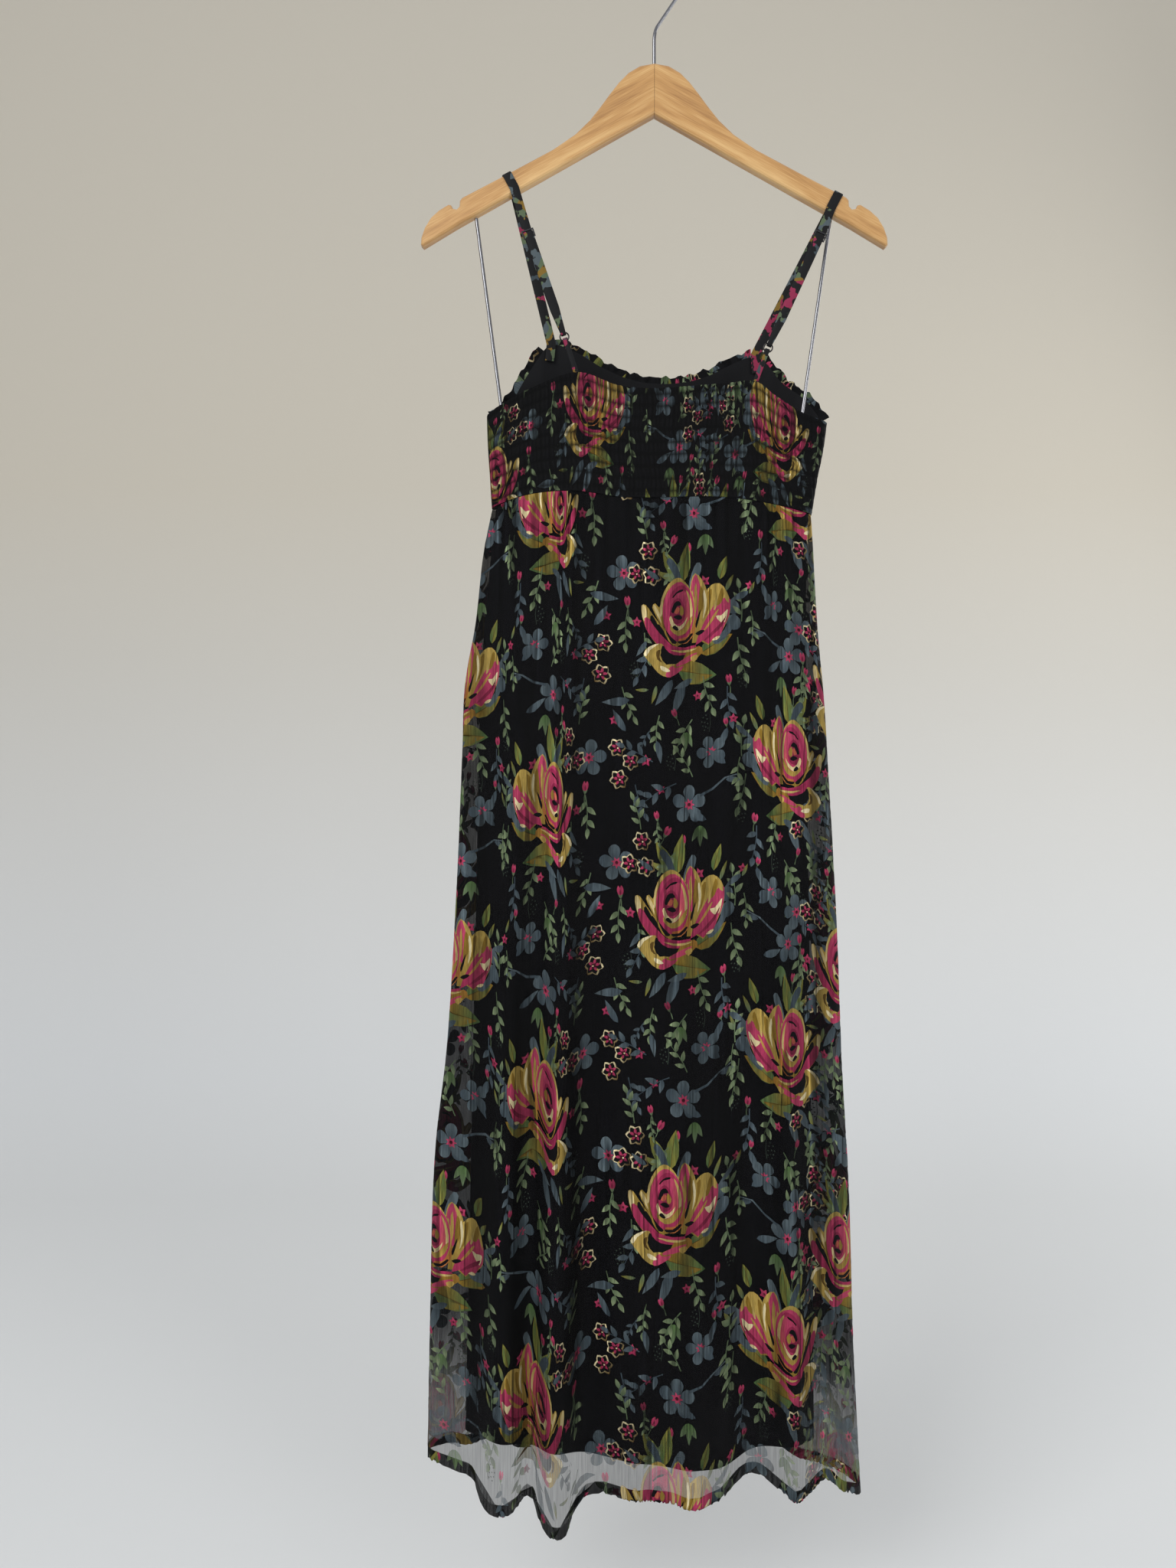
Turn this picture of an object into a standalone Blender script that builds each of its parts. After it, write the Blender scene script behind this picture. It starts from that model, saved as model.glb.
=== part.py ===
"""Maxi dress of printed crinkle chiffon over a black lining, hung on a wooden hanger with a wire drop bar.

The dress hangs with its back towards -Y. +Z is up and +X is to the right of someone who looks at the back.
The origin is the inside top of the hook, where a rail carries it. Lengths below are millimetres.
"""
import math
from collections import namedtuple

import bpy
import numpy as np

MM = 0.001
GAP = 0.3  # air between pieces that are sewn or pressed together
HALF_GAP = GAP / 2
WAIST_HALF_GAP = 0.22  # a little more along the curved waist seam
LINING_WAIST_DROP = 1.6  # the lining skirt starts this much below the chiffon

# Wooden hanger
ARM_DEPTH = 12.0
ARM_ROUNDING = 3.0
UNDERSIDE_TOP_Z = -150.3
UNDERSIDE_SLOPE = math.tan(math.radians(29.5))
CROWN_TOP_Z = -101.4
ArmPoint = namedtuple("ArmPoint", "x z")
ARM_OUTLINE = (  # one arm from the centre of the crown out along its top edge, with the notch, to the tip
    ArmPoint(0.0, -101.4),
    ArmPoint(14.0, -104.0),
    ArmPoint(25.0, -110.5),
    ArmPoint(34.0, -119.5),
    ArmPoint(43.0, -131.0),
    ArmPoint(52.5, -144.0),
    ArmPoint(62.3, -156.2),
    ArmPoint(76.0, -169.5),
    ArmPoint(97.5, -184.2),
    ArmPoint(147.0, -210.7),
    ArmPoint(184.5, -230.3),
    ArmPoint(186.6, -233.0),
    ArmPoint(186.9, -238.4),
    ArmPoint(189.6, -241.4),
    ArmPoint(193.0, -240.9),
    ArmPoint(194.8, -237.4),
    ArmPoint(197.6, -236.9),
    ArmPoint(207.0, -242.6),
    ArmPoint(214.6, -249.5),
    ArmPoint(220.4, -259.0),
    ArmPoint(223.6, -268.5),
    ArmPoint(224.0, -275.0),
    ArmPoint(221.8, -277.0),
)
UNDERSIDE_X = (190.0, 150.0, 110.0, 70.0, 35.0, 0.0)  # where the straight underside is divided
Rounding = namedtuple("Rounding", "inset depth")
ARM_EDGE = (  # how the outline shrinks towards each face of the wood
    Rounding(2.2, 6.0),
    Rounding(0.7, 5.1),
    Rounding(0.0, 3.2),
)

# Hook and drop bar, of one gauge of chromed wire
WIRE_RADIUS = 1.65
WIRE_SIDES = 8
HOOK_RADIUS = 25.0
HOOK_TIP_DEG = 166.0
SHANK_BEND_REACH = 10.0
SHANK_STRAIGHT_SHARE = 0.82
HOOK_END_DEG = -38.0
HOOK_STEP_DEG = 12.0
SHANK_BEND_Z = -68.0
BAR_LEFT_TOP_X = -171.3
BAR_RIGHT_TOP_X = 169.8
BAR_LEFT_LOW_X = -142.0
BAR_RIGHT_LOW_X = 137.5
BAR_LOW_Z = -471.0
BAR_BEND_RADIUS = 14.0
BAR_TOP_CLEARANCE = 1.3  # keeps the sloping end of the wire a seam's gap under the wood

# Cloth walls
CHIFFON_WALL = 1.2
HEM_EXTRA = 0.5  # the turned hem is this much prouder on each side
HEM_HEIGHT = 12.0
LINING_WALL = 1.2
BODICE_WALL = 1.5
RING_FULLNESS = 2.7  # 2 is an ellipse, more is squarer at the side seams
RING_SAMPLES = 721

# Bodice, as rings: x of the side seams, and how far the back and front stand off the side seams
BodiceRing = namedtuple("BodiceRing", "z left right back front")
BODICE_RINGS = (
    BodiceRing(-360.0, -161.0, 166.5, 12.5, 15.5),
    BodiceRing(-400.0, -161.0, 166.5, 13.5, 20.0),
    BodiceRing(-440.0, -161.0, 166.5, 14.5, 24.0),
    BodiceRing(-470.0, -160.0, 163.0, 15.0, 24.5),
    BodiceRing(-500.0, -158.0, 157.0, 15.5, 23.0),
    BodiceRing(-540.0, -155.5, 150.5, 16.0, 21.5),
)
EdgePoint = namedtuple("EdgePoint", "x z")
WAIST_SEAM = (
    EdgePoint(-156.0, -528.2),
    EdgePoint(-121.6, -517.5),
    EdgePoint(-75.5, -514.5),
    EdgePoint(-31.3, -520.5),
    EdgePoint(66.7, -520.5),
    EdgePoint(110.0, -526.0),
    EdgePoint(151.0, -534.5),
)
BACK_TOP_EDGE = (
    EdgePoint(-161.0, -439.5),
    EdgePoint(-146.2, -430.0),
    EdgePoint(-110.0, -412.0),
    EdgePoint(-72.6, -401.0),
    EdgePoint(-35.7, -413.5),
    EdgePoint(-10.0, -416.5),
    EdgePoint(33.5, -414.5),
    EdgePoint(68.9, -411.5),
    EdgePoint(98.0, -410.5),
    EdgePoint(114.0, -422.5),
    EdgePoint(141.0, -438.5),
    EdgePoint(166.5, -446.5),
)
FRONT_TOP_EDGE = (
    EdgePoint(-161.0, -439.5),
    EdgePoint(-150.5, -434.0),
    EdgePoint(-140.0, -423.5),
    EdgePoint(-128.6, -403.7),
    EdgePoint(-114.2, -381.0),
    EdgePoint(-102.0, -366.5),
    EdgePoint(-80.0, -370.0),
    EdgePoint(-46.8, -386.8),
    EdgePoint(-16.6, -398.0),
    EdgePoint(5.5, -400.8),
    EdgePoint(32.0, -399.0),
    EdgePoint(57.0, -391.9),
    EdgePoint(81.4, -381.0),
    EdgePoint(97.0, -377.0),
    EdgePoint(109.4, -382.0),
    EdgePoint(125.0, -401.0),
    EdgePoint(146.2, -417.5),
    EdgePoint(157.3, -431.0),
    EdgePoint(166.5, -446.5),
)
BACK_GATHERS = 32
ELASTIC_ROWS = 9
SMOCK_RELIEF = 1.7
SMOCK_AT_ELASTIC = 0.3  # share of the relief left where an elastic row pinches the gathers
SMOCK_POINT_ROWS = 2 * ELASTIC_ROWS
FRONT_GATHERS = 20
FRONT_GATHER_HEIGHT = 0.8
FRONT_BODICE_ROWS = 8
FRONT_LINING_COLUMNS = 28
FRONT_LINING_ROWS = 6
EDGE_TRIES = 4  # rounds in which a column finds its height on a sloping edge
Cup = namedtuple("Cup", "x z width height fullness")
CUPS = (
    Cup(-64.0, -428.0, 52.0, 46.0, 9.0),
    Cup(66.0, -432.0, 52.0, 46.0, 9.0),
)

# Ruffles in the front's top edge
RUFFLE_WALL = 1.0
RUFFLE_HEIGHT = 7.5
RUFFLE_WAVE_TOP = 1.9
RUFFLE_WAVE_FOOT = 0.25
RUFFLE_FOOT = 0.75  # above the smooth edge, which the panel meets in short straight steps
RUFFLE_LEAN = 1.5
RUFFLE_COLUMNS_PER_WAVE = 2
Ruffle = namedtuple("Ruffle", "name start_x end_x waves")
RUFFLES = (
    Ruffle("armhole_ruffle_left", -158.0, -106.5, 10),
    Ruffle("neck_ruffle", -100.5, 95.5, 22),
    Ruffle("armhole_ruffle_right", 101.5, 163.5, 11),
)

# Skirt: drop from the waist seam, side seams' x, and how far back and front stand off the side seams
SkirtRing = namedtuple("SkirtRing", "drop left right back front")
CHIFFON_RINGS = (
    SkirtRing(0.0, -156.0, 151.0, 17.2, 23.0),
    SkirtRing(40.0, -164.0, 153.5, 19.0, 25.0),
    SkirtRing(115.0, -172.5, 158.0, 21.0, 28.0),
    SkirtRing(175.0, -182.5, 163.5, 22.0, 30.0),
    SkirtRing(240.0, -185.0, 167.5, 23.0, 32.0),
    SkirtRing(385.0, -191.0, 175.5, 24.0, 34.0),
    SkirtRing(540.0, -200.5, 181.5, 25.0, 36.0),
    SkirtRing(635.0, -211.0, 187.0, 25.5, 37.0),
    SkirtRing(800.0, -216.0, 192.0, 26.0, 38.0),
    SkirtRing(940.0, -218.5, 199.0, 27.0, 40.0),
)
LINING_RINGS = (
    SkirtRing(0.0, -152.6, 147.6, 13.8, 19.6),
    SkirtRing(40.0, -157.0, 147.0, 14.2, 20.4),
    SkirtRing(150.0, -166.0, 146.5, 15.0, 22.0),
    SkirtRing(400.0, -172.0, 149.5, 16.0, 24.0),
    SkirtRing(700.0, -178.0, 152.5, 17.0, 26.0),
    SkirtRing(900.0, -182.0, 154.0, 18.0, 27.0),
)
# Long folds, each a ridge that stands towards the viewer of its panel and grows down to the hem
Fold = namedtuple("Fold", "top_x hem_x start top_width hem_width height spread")
BACK_FOLDS = (
    Fold(-138.0, -146.0, 0.16, 13.0, 19.0, 27.0, 5.0),
    Fold(-86.0, -95.0, 0.10, 12.0, 16.5, 35.0, 6.0),
    Fold(-20.0, -24.0, 0.06, 16.0, 30.0, 15.0, 2.0),
    Fold(30.0, 36.0, 0.04, 16.0, 32.0, 19.0, 2.0),
    Fold(112.0, 132.0, 0.12, 12.0, 17.0, 24.0, 4.0),
    Fold(145.0, 176.0, 0.30, 9.0, 13.0, 13.0, 1.0),
)
FRONT_FOLDS = (
    Fold(-128.0, -158.0, 0.14, 12.0, 18.0, 16.0, 3.0),
    Fold(-78.0, -98.0, 0.08, 13.0, 20.0, 22.0, 4.0),
    Fold(-18.0, -30.0, 0.12, 15.0, 24.0, 18.0, 3.0),
    Fold(42.0, 46.0, 0.06, 14.0, 22.0, 24.0, 4.0),
    Fold(98.0, 116.0, 0.16, 12.0, 19.0, 17.0, 3.0),
)
FOLD_SEAM_FADE = 8.0  # power that keeps the folds off the side seams
LINING_FOLD_SHARE = 0.42
HEM_EDGE_BACK = (
    EdgePoint(-218.5, -1438.0),
    EdgePoint(-178.0, -1446.0),
    EdgePoint(-146.0, -1460.0),
    EdgePoint(-119.0, -1457.0),
    EdgePoint(-95.0, -1474.0),
    EdgePoint(-62.0, -1459.0),
    EdgePoint(-10.0, -1457.0),
    EdgePoint(36.0, -1461.0),
    EdgePoint(74.0, -1450.0),
    EdgePoint(94.0, -1447.0),
    EdgePoint(132.0, -1456.0),
    EdgePoint(152.0, -1453.0),
    EdgePoint(182.0, -1467.0),
    EdgePoint(199.0, -1472.0),
)
HEM_EDGE_FRONT = (
    EdgePoint(-218.5, -1438.0),
    EdgePoint(-158.0, -1450.0),
    EdgePoint(-98.0, -1456.0),
    EdgePoint(-30.0, -1452.0),
    EdgePoint(46.0, -1458.0),
    EdgePoint(116.0, -1456.0),
    EdgePoint(199.0, -1472.0),
)
LINING_HEM_BACK = (
    EdgePoint(-182.0, -1398.0),
    EdgePoint(-95.0, -1408.0),
    EdgePoint(20.0, -1412.0),
    EdgePoint(90.0, -1400.0),
    EdgePoint(154.0, -1408.0),
)
LINING_HEM_FRONT = (
    EdgePoint(-182.0, -1398.0),
    EdgePoint(-30.0, -1404.0),
    EdgePoint(60.0, -1406.0),
    EdgePoint(154.0, -1408.0),
)
# Share of the way from waist to hem, closer together where gathers and flutes turn fastest
CHIFFON_ROWS = (0.0, 0.02, 0.06, 0.12, 0.2, 0.3, 0.42, 0.55, 0.68, 0.8, 0.91)
LINING_ROWS = (0.0, 0.05, 0.14, 0.28, 0.44, 0.6, 0.76, 0.9, 1.0)
HEM_STEP = 0.6  # height over which the wall thickens into the hem
BACK_SKIRT_GATHERS = 25
FRONT_SKIRT_GATHERS = 18
FRONT_GATHER_FADE = 1.5
SKIRT_GATHER_HEIGHT = 1.1
GATHER_FADE = 0.2  # share of the skirt's length where the waist gathers have died out
LINING_COLUMNS = 26

# Straps, sliders, rings and tabs
STRAP_WALL = 1.2
STRAP_WIDTH = 9.0
STRAP_WIDTH_AT_RING = 4.8
STRAP_SEWN_LENGTH = 14.0
STRAP_SEWN_SHIFT = 1.5  # sideways, from the peak to the sewn end
STRAP_BEHIND_LINING = 0.4
STRAP_ABOVE_PEAK = 2.0
STRAP_FACE_RUN = 16.0  # along the wood's face, down from the arm's top edge
STRAP_BESIDE_SLIDER = 6.0
STRAP_BAR_RUN = 4.0
STRAP_END_RUN = 4.5
STRAP_NEAR_RING = 0.75  # share of the way from the slider to the ring
STRAP_DEPTH_AT_RING = -12.3
STRAP_DEPTH_AT_SLIDER = -11.6
RING_STEPS = 18
TAB_TURN = 2.1  # times the wire's clearance, from the ring to the loop's centre
TAB_ABOVE_EDGE = 3.0
ARM_TOP_POINTS = 11  # points of the arm's outline that belong to its top edge
RING_RADIUS = 4.2
RING_WIRE = 0.7
TAB_WALL = 1.0
TAB_WIDTH = 4.8
TAB_SEWN_LENGTH = 12.0
TAB_SPACING = 1.3  # between the middles of the tab's two legs where they are sewn down
SLIDER_WIDTH = 12.0
SLIDER_HEIGHT = 8.0
SLIDER_BAR = 1.2
SLIDER_SLOT_WIDTH = 9.6
StrapSide = namedtuple(
    "StrapSide", "name sign cross_x slider_x slider_z ring_x ring_z peak_x peak_z tab_x tab_z"
)
STRAP_SIDES = (
    StrapSide("left", -1, -141.8, -120.5, -268.2, -86.2, -366.9, -99.5, -367.0, -75.5, -402.0),
    StrapSide("right", 1, 176.8, 157.3, -270.4, 107.9, -377.2, 99.0, -378.0, 96.5, -411.0),
)
TURN_STEPS = 6

Finish = namedtuple("Finish", "colour roughness metallic")
FINISHES = {
    "varnished_wood": Finish((0.52, 0.27, 0.09), 0.34, 0.0),
    "chromed_wire": Finish((0.62, 0.63, 0.65), 0.18, 1.0),
    "dark_metal": Finish((0.16, 0.15, 0.15), 0.35, 1.0),
    "black_plastic": Finish((0.02, 0.02, 0.022), 0.35, 0.0),
    "printed_chiffon": Finish((0.035, 0.034, 0.036), 0.7, 0.0),
    "black_lining": Finish((0.008, 0.008, 0.009), 0.75, 0.0),
}
SMOOTH_ANGLE = math.radians(42)


def clear_scene():
    """Removes every object, so that the script can run more than once."""
    for item in list(bpy.data.objects):
        bpy.data.objects.remove(item)


def finish_material(name):
    """The Principled material for one finish."""
    found = bpy.data.materials.get(name)
    if found:
        return found
    look = FINISHES[name]
    made = bpy.data.materials.new(name)
    made.use_nodes = True
    shader = made.node_tree.nodes["Principled BSDF"]
    shader.inputs["Base Color"].default_value = (*look.colour, 1.0)
    shader.inputs["Roughness"].default_value = look.roughness
    shader.inputs["Metallic"].default_value = look.metallic
    made.diffuse_color = (*look.colour, 1.0)
    return made


def enclosed_volume(points, faces):
    """Signed volume of a closed mesh, positive where its faces point out."""
    total = 0.0
    for face in faces:
        first = points[face[0]]
        for second, third in zip(face[1:-1], face[2:]):
            total += float(np.dot(first, np.cross(points[second], points[third])))
    return total / 6


def add_solid(name, points, faces, finish):
    """Links one closed body made from points in millimetres, with its faces turned outwards."""
    points = np.asarray(points, float)
    if enclosed_volume(points, faces) < 0:
        faces = [tuple(reversed(face)) for face in faces]
    mesh = bpy.data.meshes.new(name)
    mesh.from_pydata((points * MM).tolist(), [], [tuple(face) for face in faces])
    mesh.validate()
    mesh.shade_smooth()
    mesh.set_sharp_from_angle(angle=SMOOTH_ANGLE)
    mesh.materials.append(finish_material(finish))
    made = bpy.data.objects.new(name, mesh)
    bpy.context.scene.collection.objects.link(made)
    return made


def through(table, key, value, at):
    """A smooth curve through two columns of a table, read at one or more places. It is flat past the ends."""
    keys = np.array([getattr(row, key) for row in table])
    values = np.array([getattr(row, value) for row in table])
    if keys[0] > keys[-1]:
        keys = keys[::-1]
        values = values[::-1]
    slopes = np.diff(values) / np.diff(keys)
    tangents = np.concatenate([[slopes[0]], (slopes[1:] + slopes[:-1]) / 2, [slopes[-1]]])
    at = np.clip(np.asarray(at, float), keys[0], keys[-1])
    low = np.clip(np.searchsorted(keys, at) - 1, 0, len(keys) - 2)
    span = keys[low + 1] - keys[low]
    t = (at - keys[low]) / span
    return (
        (2 * t**3 - 3 * t**2 + 1) * values[low]
        + (t**3 - 2 * t**2 + t) * span * tangents[low]
        + (3 * t**2 - 2 * t**3) * values[low + 1]
        + (t**3 - t**2) * span * tangents[low + 1]
    )


def rise(share):
    """0 at 0 and 1 at 1, level at both."""
    share = np.clip(share, 0.0, 1.0)
    return share * share * (3 - 2 * share)


def half_ring(left, right, depth):
    """Plan of half a flattened ring from the left seam round to the right one. A negative depth is the back."""
    angle = np.linspace(0.0, math.pi, RING_SAMPLES)
    across = np.cos(angle)
    power = 2 / RING_FULLNESS
    x = (left + right) / 2 - (right - left) / 2 * np.sign(across) * np.abs(across) ** power
    y = depth * np.abs(np.sin(angle)) ** power
    return x, y


def with_folds(x, y, folds, share, side, amount=1.0):
    """The half ring with its long folds. side is -1 for the back and 1 for the front."""
    middle = (x[0] + x[-1]) / 2
    reach = (x[-1] - x[0]) / 2
    near_seam = 1 - np.abs((x - middle) / reach) ** FOLD_SEAM_FADE
    moved_x = x.copy()
    moved_y = y.copy()
    for fold in folds:
        centre = fold.top_x + (fold.hem_x - fold.top_x) * share
        width = fold.top_width + (fold.hem_width - fold.top_width) * share
        grown = rise((share - fold.start) / (1 - fold.start)) * near_seam * amount
        along = (x - centre) / width
        ridge = np.exp(-along * along) * grown
        moved_y += side * fold.height * ridge
        moved_x += fold.spread * along * ridge
    return moved_x, moved_y


def spaced(x, y, fractions):
    """Points and outward normals of a plan curve at fractions of its length."""
    along = np.concatenate([[0.0], np.cumsum(np.hypot(np.diff(x), np.diff(y)))])
    at = np.asarray(fractions) * along[-1]
    slope_x = np.interp(at, along, np.gradient(x, along))
    slope_y = np.interp(at, along, np.gradient(y, along))
    length = np.hypot(slope_x, slope_y)
    return np.interp(at, along, x), np.interp(at, along, y), slope_y / length, -slope_x / length


def seam_normals(nx, ny, side):
    """Turns the normals outwards, and square to the side seams at both ends."""
    if side > 0:
        nx = -nx
        ny = -ny
    nx[0] = -1.0
    nx[-1] = 1.0
    ny[0] = 0.0
    ny[-1] = 0.0
    return nx, ny


def gather_wave(columns, height):
    """Zigzag of the gathers across a panel, two columns to a gather, with none at the seams."""
    wave = np.where(np.arange(columns + 1) % 2 == 0, -height, height)
    wave[0] = 0.0
    wave[-1] = 0.0
    return wave


def wall(outer, inner):
    """Points and faces of a closed wall between two grids with the same number of columns."""
    outer_rows, columns = outer.shape[:2]
    inner_rows = inner.shape[0]
    points = np.concatenate([outer.reshape(-1, 3), inner.reshape(-1, 3)])
    start = outer_rows * columns

    def out(row, column):
        return row * columns + column

    def into(row, column):
        return start + row * columns + column

    faces = []
    for row in range(outer_rows - 1):
        for column in range(columns - 1):
            faces.append(
                (out(row, column), out(row + 1, column), out(row + 1, column + 1), out(row, column + 1))
            )
    for row in range(inner_rows - 1):
        for column in range(columns - 1):
            faces.append(
                (into(row, column), into(row, column + 1), into(row + 1, column + 1), into(row + 1, column))
            )
    for column in range(columns - 1):
        faces.append((out(0, column), out(0, column + 1), into(0, column + 1), into(0, column)))
        low_out = outer_rows - 1
        low_in = inner_rows - 1
        faces.append(
            (out(low_out, column + 1), out(low_out, column), into(low_in, column), into(low_in, column + 1))
        )
    if outer_rows == inner_rows:
        for row in range(outer_rows - 1):
            faces.append((out(row, 0), into(row, 0), into(row + 1, 0), out(row + 1, 0)))
            last = columns - 1
            faces.append((out(row, last), out(row + 1, last), into(row + 1, last), into(row, last)))
    else:
        first_edge = [out(row, 0) for row in range(outer_rows)]
        faces.append((*reversed(first_edge), *(into(row, 0) for row in range(inner_rows))))
        last_edge = [out(row, columns - 1) for row in range(outer_rows)]
        faces.append((*last_edge, *(into(row, columns - 1) for row in reversed(range(inner_rows)))))
    return points, faces


def tube(path, radius, sides, closed=False):
    """Points and faces of a round wire along a path, with flat ends, or joined into a ring."""
    path = np.asarray(path, float)
    count = len(path)
    if closed:
        tangents = np.roll(path, -1, axis=0) - np.roll(path, 1, axis=0)
    else:
        tangents = np.gradient(path, axis=0)
    tangents /= np.linalg.norm(tangents, axis=1)[:, None]
    depth = np.array([0.0, 1.0, 0.0])  # every wire here lies in an upright plane
    points = []
    for place, tangent in zip(path, tangents):
        across = np.cross(depth, tangent)
        for turn in range(sides):
            angle = 2 * math.pi * (turn + 0.5) / sides
            points.append(place + radius * (math.cos(angle) * across + math.sin(angle) * depth))
    faces = []
    for step in range(count if closed else count - 1):
        after = (step + 1) % count
        for turn in range(sides):
            beside = (turn + 1) % sides
            faces.append(
                (step * sides + turn, step * sides + beside, after * sides + beside, after * sides + turn)
            )
    if not closed:
        faces.append(tuple(reversed(range(sides))))
        faces.append(tuple((count - 1) * sides + turn for turn in range(sides)))
    return points, faces


def band(path, across, widths, thickness):
    """Points and faces of a flat strip along a path. across holds the direction of its width at each point."""
    path = np.asarray(path, float)
    across = np.asarray(across, float)
    tangents = np.gradient(path, axis=0)
    tangents /= np.linalg.norm(tangents, axis=1)[:, None]
    before = np.diff(path, axis=0)
    before /= np.linalg.norm(before, axis=1)[:, None]
    points = []
    for step, (place, tangent, width) in enumerate(zip(path, tangents, widths)):
        side = across[step] - np.dot(across[step], tangent) * tangent
        side /= np.linalg.norm(side)
        face = np.cross(tangent, side)
        if 0 < step < len(path) - 1:
            turn = float(np.clip(np.dot(before[step - 1], before[step]), -1.0, 1.0))
            stretch = 1 / math.sqrt((1 + turn) / 2)
        else:
            stretch = 1.0
        for along_side, along_face in ((-1, -1), (1, -1), (1, 1), (-1, 1)):
            points.append(
                place + along_side * side * width / 2 + along_face * face * thickness / 2 * stretch
            )
    faces = []
    for step in range(len(path) - 1):
        for corner in range(4):
            beside = (corner + 1) % 4
            faces.append(
                (step * 4 + corner, step * 4 + beside, step * 4 + 4 + beside, step * 4 + 4 + corner)
            )
    faces.append((3, 2, 1, 0))
    last = (len(path) - 1) * 4
    faces.append((last, last + 1, last + 2, last + 3))
    return points, faces


def underside_z(x):
    """Height of the hanger's straight underside."""
    return UNDERSIDE_TOP_Z - abs(x) * UNDERSIDE_SLOPE


def arm_outline(inset):
    """One arm's outline, drawn in by inset except on the mitre, which stays on the centre line."""
    outline = [(point.x, point.z) for point in ARM_OUTLINE]
    outline += [(x, underside_z(x)) for x in UNDERSIDE_X]
    outline = np.array(outline)
    before = outline - np.roll(outline, 1, axis=0)
    after = np.roll(outline, -1, axis=0) - outline
    before /= np.linalg.norm(before, axis=1)[:, None]
    after /= np.linalg.norm(after, axis=1)[:, None]
    middle = before + after
    middle /= np.linalg.norm(middle, axis=1)[:, None]
    inward = np.stack([middle[:, 1], -middle[:, 0]], axis=1)
    drawn = outline + inward * inset
    drawn[0] = (0.0, outline[0][1] - inset)
    drawn[-1] = (0.0, outline[-1][1] + inset)
    drawn[:, 0] = np.maximum(drawn[:, 0], 0.0) + HALF_GAP
    return drawn


def hanger_arm(name, sign):
    """One arm of the wooden hanger, rounded along its edges, mitred at the crown."""
    levels = [(edge.inset, -edge.depth) for edge in ARM_EDGE]
    levels += [(edge.inset, edge.depth) for edge in reversed(ARM_EDGE)]
    points = []
    for inset, depth in levels:
        points += [(sign * x, depth, z) for x, z in arm_outline(inset)]
    count = len(points) // len(levels)
    faces = []
    for level in range(len(levels) - 1):
        for corner in range(count):
            beside = (corner + 1) % count
            faces.append(
                (
                    level * count + corner,
                    level * count + beside,
                    (level + 1) * count + beside,
                    (level + 1) * count + corner,
                )
            )
    faces.append(tuple(reversed(range(count))))
    faces.append(tuple((len(levels) - 1) * count + corner for corner in range(count)))
    add_solid(name, points, faces, "varnished_wood")


def hanger_hook():
    """The question-mark hook: tip, loop over the rail, slant back to the centre and shank into the crown."""
    centre_z = WIRE_RADIUS - HOOK_RADIUS
    path = []
    steps = int(round((HOOK_TIP_DEG - HOOK_END_DEG) / HOOK_STEP_DEG))
    for step in range(steps + 1):
        angle = math.radians(HOOK_TIP_DEG + (HOOK_END_DEG - HOOK_TIP_DEG) * step / steps)
        path.append((HOOK_RADIUS * math.cos(angle), 0.0, centre_z + HOOK_RADIUS * math.sin(angle)))
    start = np.array(path[-1])
    corner = np.array([0.0, 0.0, SHANK_BEND_Z])
    down = np.array([0.0, 0.0, SHANK_BEND_Z - SHANK_BEND_REACH])
    for share in (0.35, 0.6, 0.8, 1.0):
        path.append(tuple(start + (corner - start) * share * SHANK_STRAIGHT_SHARE))
    lead = np.array(path[-1])
    for share in (0.33, 0.67, 1.0):
        path.append(tuple(lead * (1 - share) ** 2 + corner * 2 * share * (1 - share) + down * share**2))
    path.append((0.0, 0.0, CROWN_TOP_Z + GAP))
    add_solid("hanger_hook", *tube(path, WIRE_RADIUS, WIRE_SIDES), "chromed_wire")


def drop_bar():
    """The wire bar: down from the left arm, across inside the bodice and up to the right arm."""
    left_top = np.array([BAR_LEFT_TOP_X, 0.0, underside_z(BAR_LEFT_TOP_X) - BAR_TOP_CLEARANCE])
    left_low = np.array([BAR_LEFT_LOW_X, 0.0, BAR_LOW_Z])
    right_low = np.array([BAR_RIGHT_LOW_X, 0.0, BAR_LOW_Z])
    right_top = np.array([BAR_RIGHT_TOP_X, 0.0, underside_z(BAR_RIGHT_TOP_X) - BAR_TOP_CLEARANCE])
    path = [left_top, (left_top + left_low) / 2]
    for before, corner, after in ((left_top, left_low, right_low), (left_low, right_low, right_top)):
        start = corner + (before - corner) / np.linalg.norm(before - corner) * BAR_BEND_RADIUS
        end = corner + (after - corner) / np.linalg.norm(after - corner) * BAR_BEND_RADIUS
        for step in range(TURN_STEPS + 1):
            share = step / TURN_STEPS
            path.append(start * (1 - share) ** 2 + corner * 2 * share * (1 - share) + end * share**2)
        if corner is left_low:
            path.append((left_low + right_low) / 2)
    path += [(right_top + right_low) / 2, right_top]
    add_solid("drop_bar", *tube(path, WIRE_RADIUS, WIRE_SIDES), "chromed_wire")


def bodice_ring(z, side):
    """Half of the bodice's ring at one height, with the cups on the front."""
    left = float(through(BODICE_RINGS, "z", "left", z))
    right = float(through(BODICE_RINGS, "z", "right", z))
    if side < 0:
        return half_ring(left, right, -float(through(BODICE_RINGS, "z", "back", z)))
    x, y = half_ring(left, right, float(through(BODICE_RINGS, "z", "front", z)))
    near_seam = np.sin(np.linspace(0.0, math.pi, RING_SAMPLES)) ** 2
    for cup in CUPS:
        roundness = np.exp(-(((x - cup.x) / cup.width) ** 2) - ((z - cup.z) / cup.height) ** 2)
        y = y + cup.fullness * roundness * near_seam
    return x, y


def bodice_y(x, z, side):
    """Where the bodice's ring stands in depth at one place."""
    ring_x, ring_y = bodice_ring(z, side)
    return float(np.interp(x, ring_x, ring_y))


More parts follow.
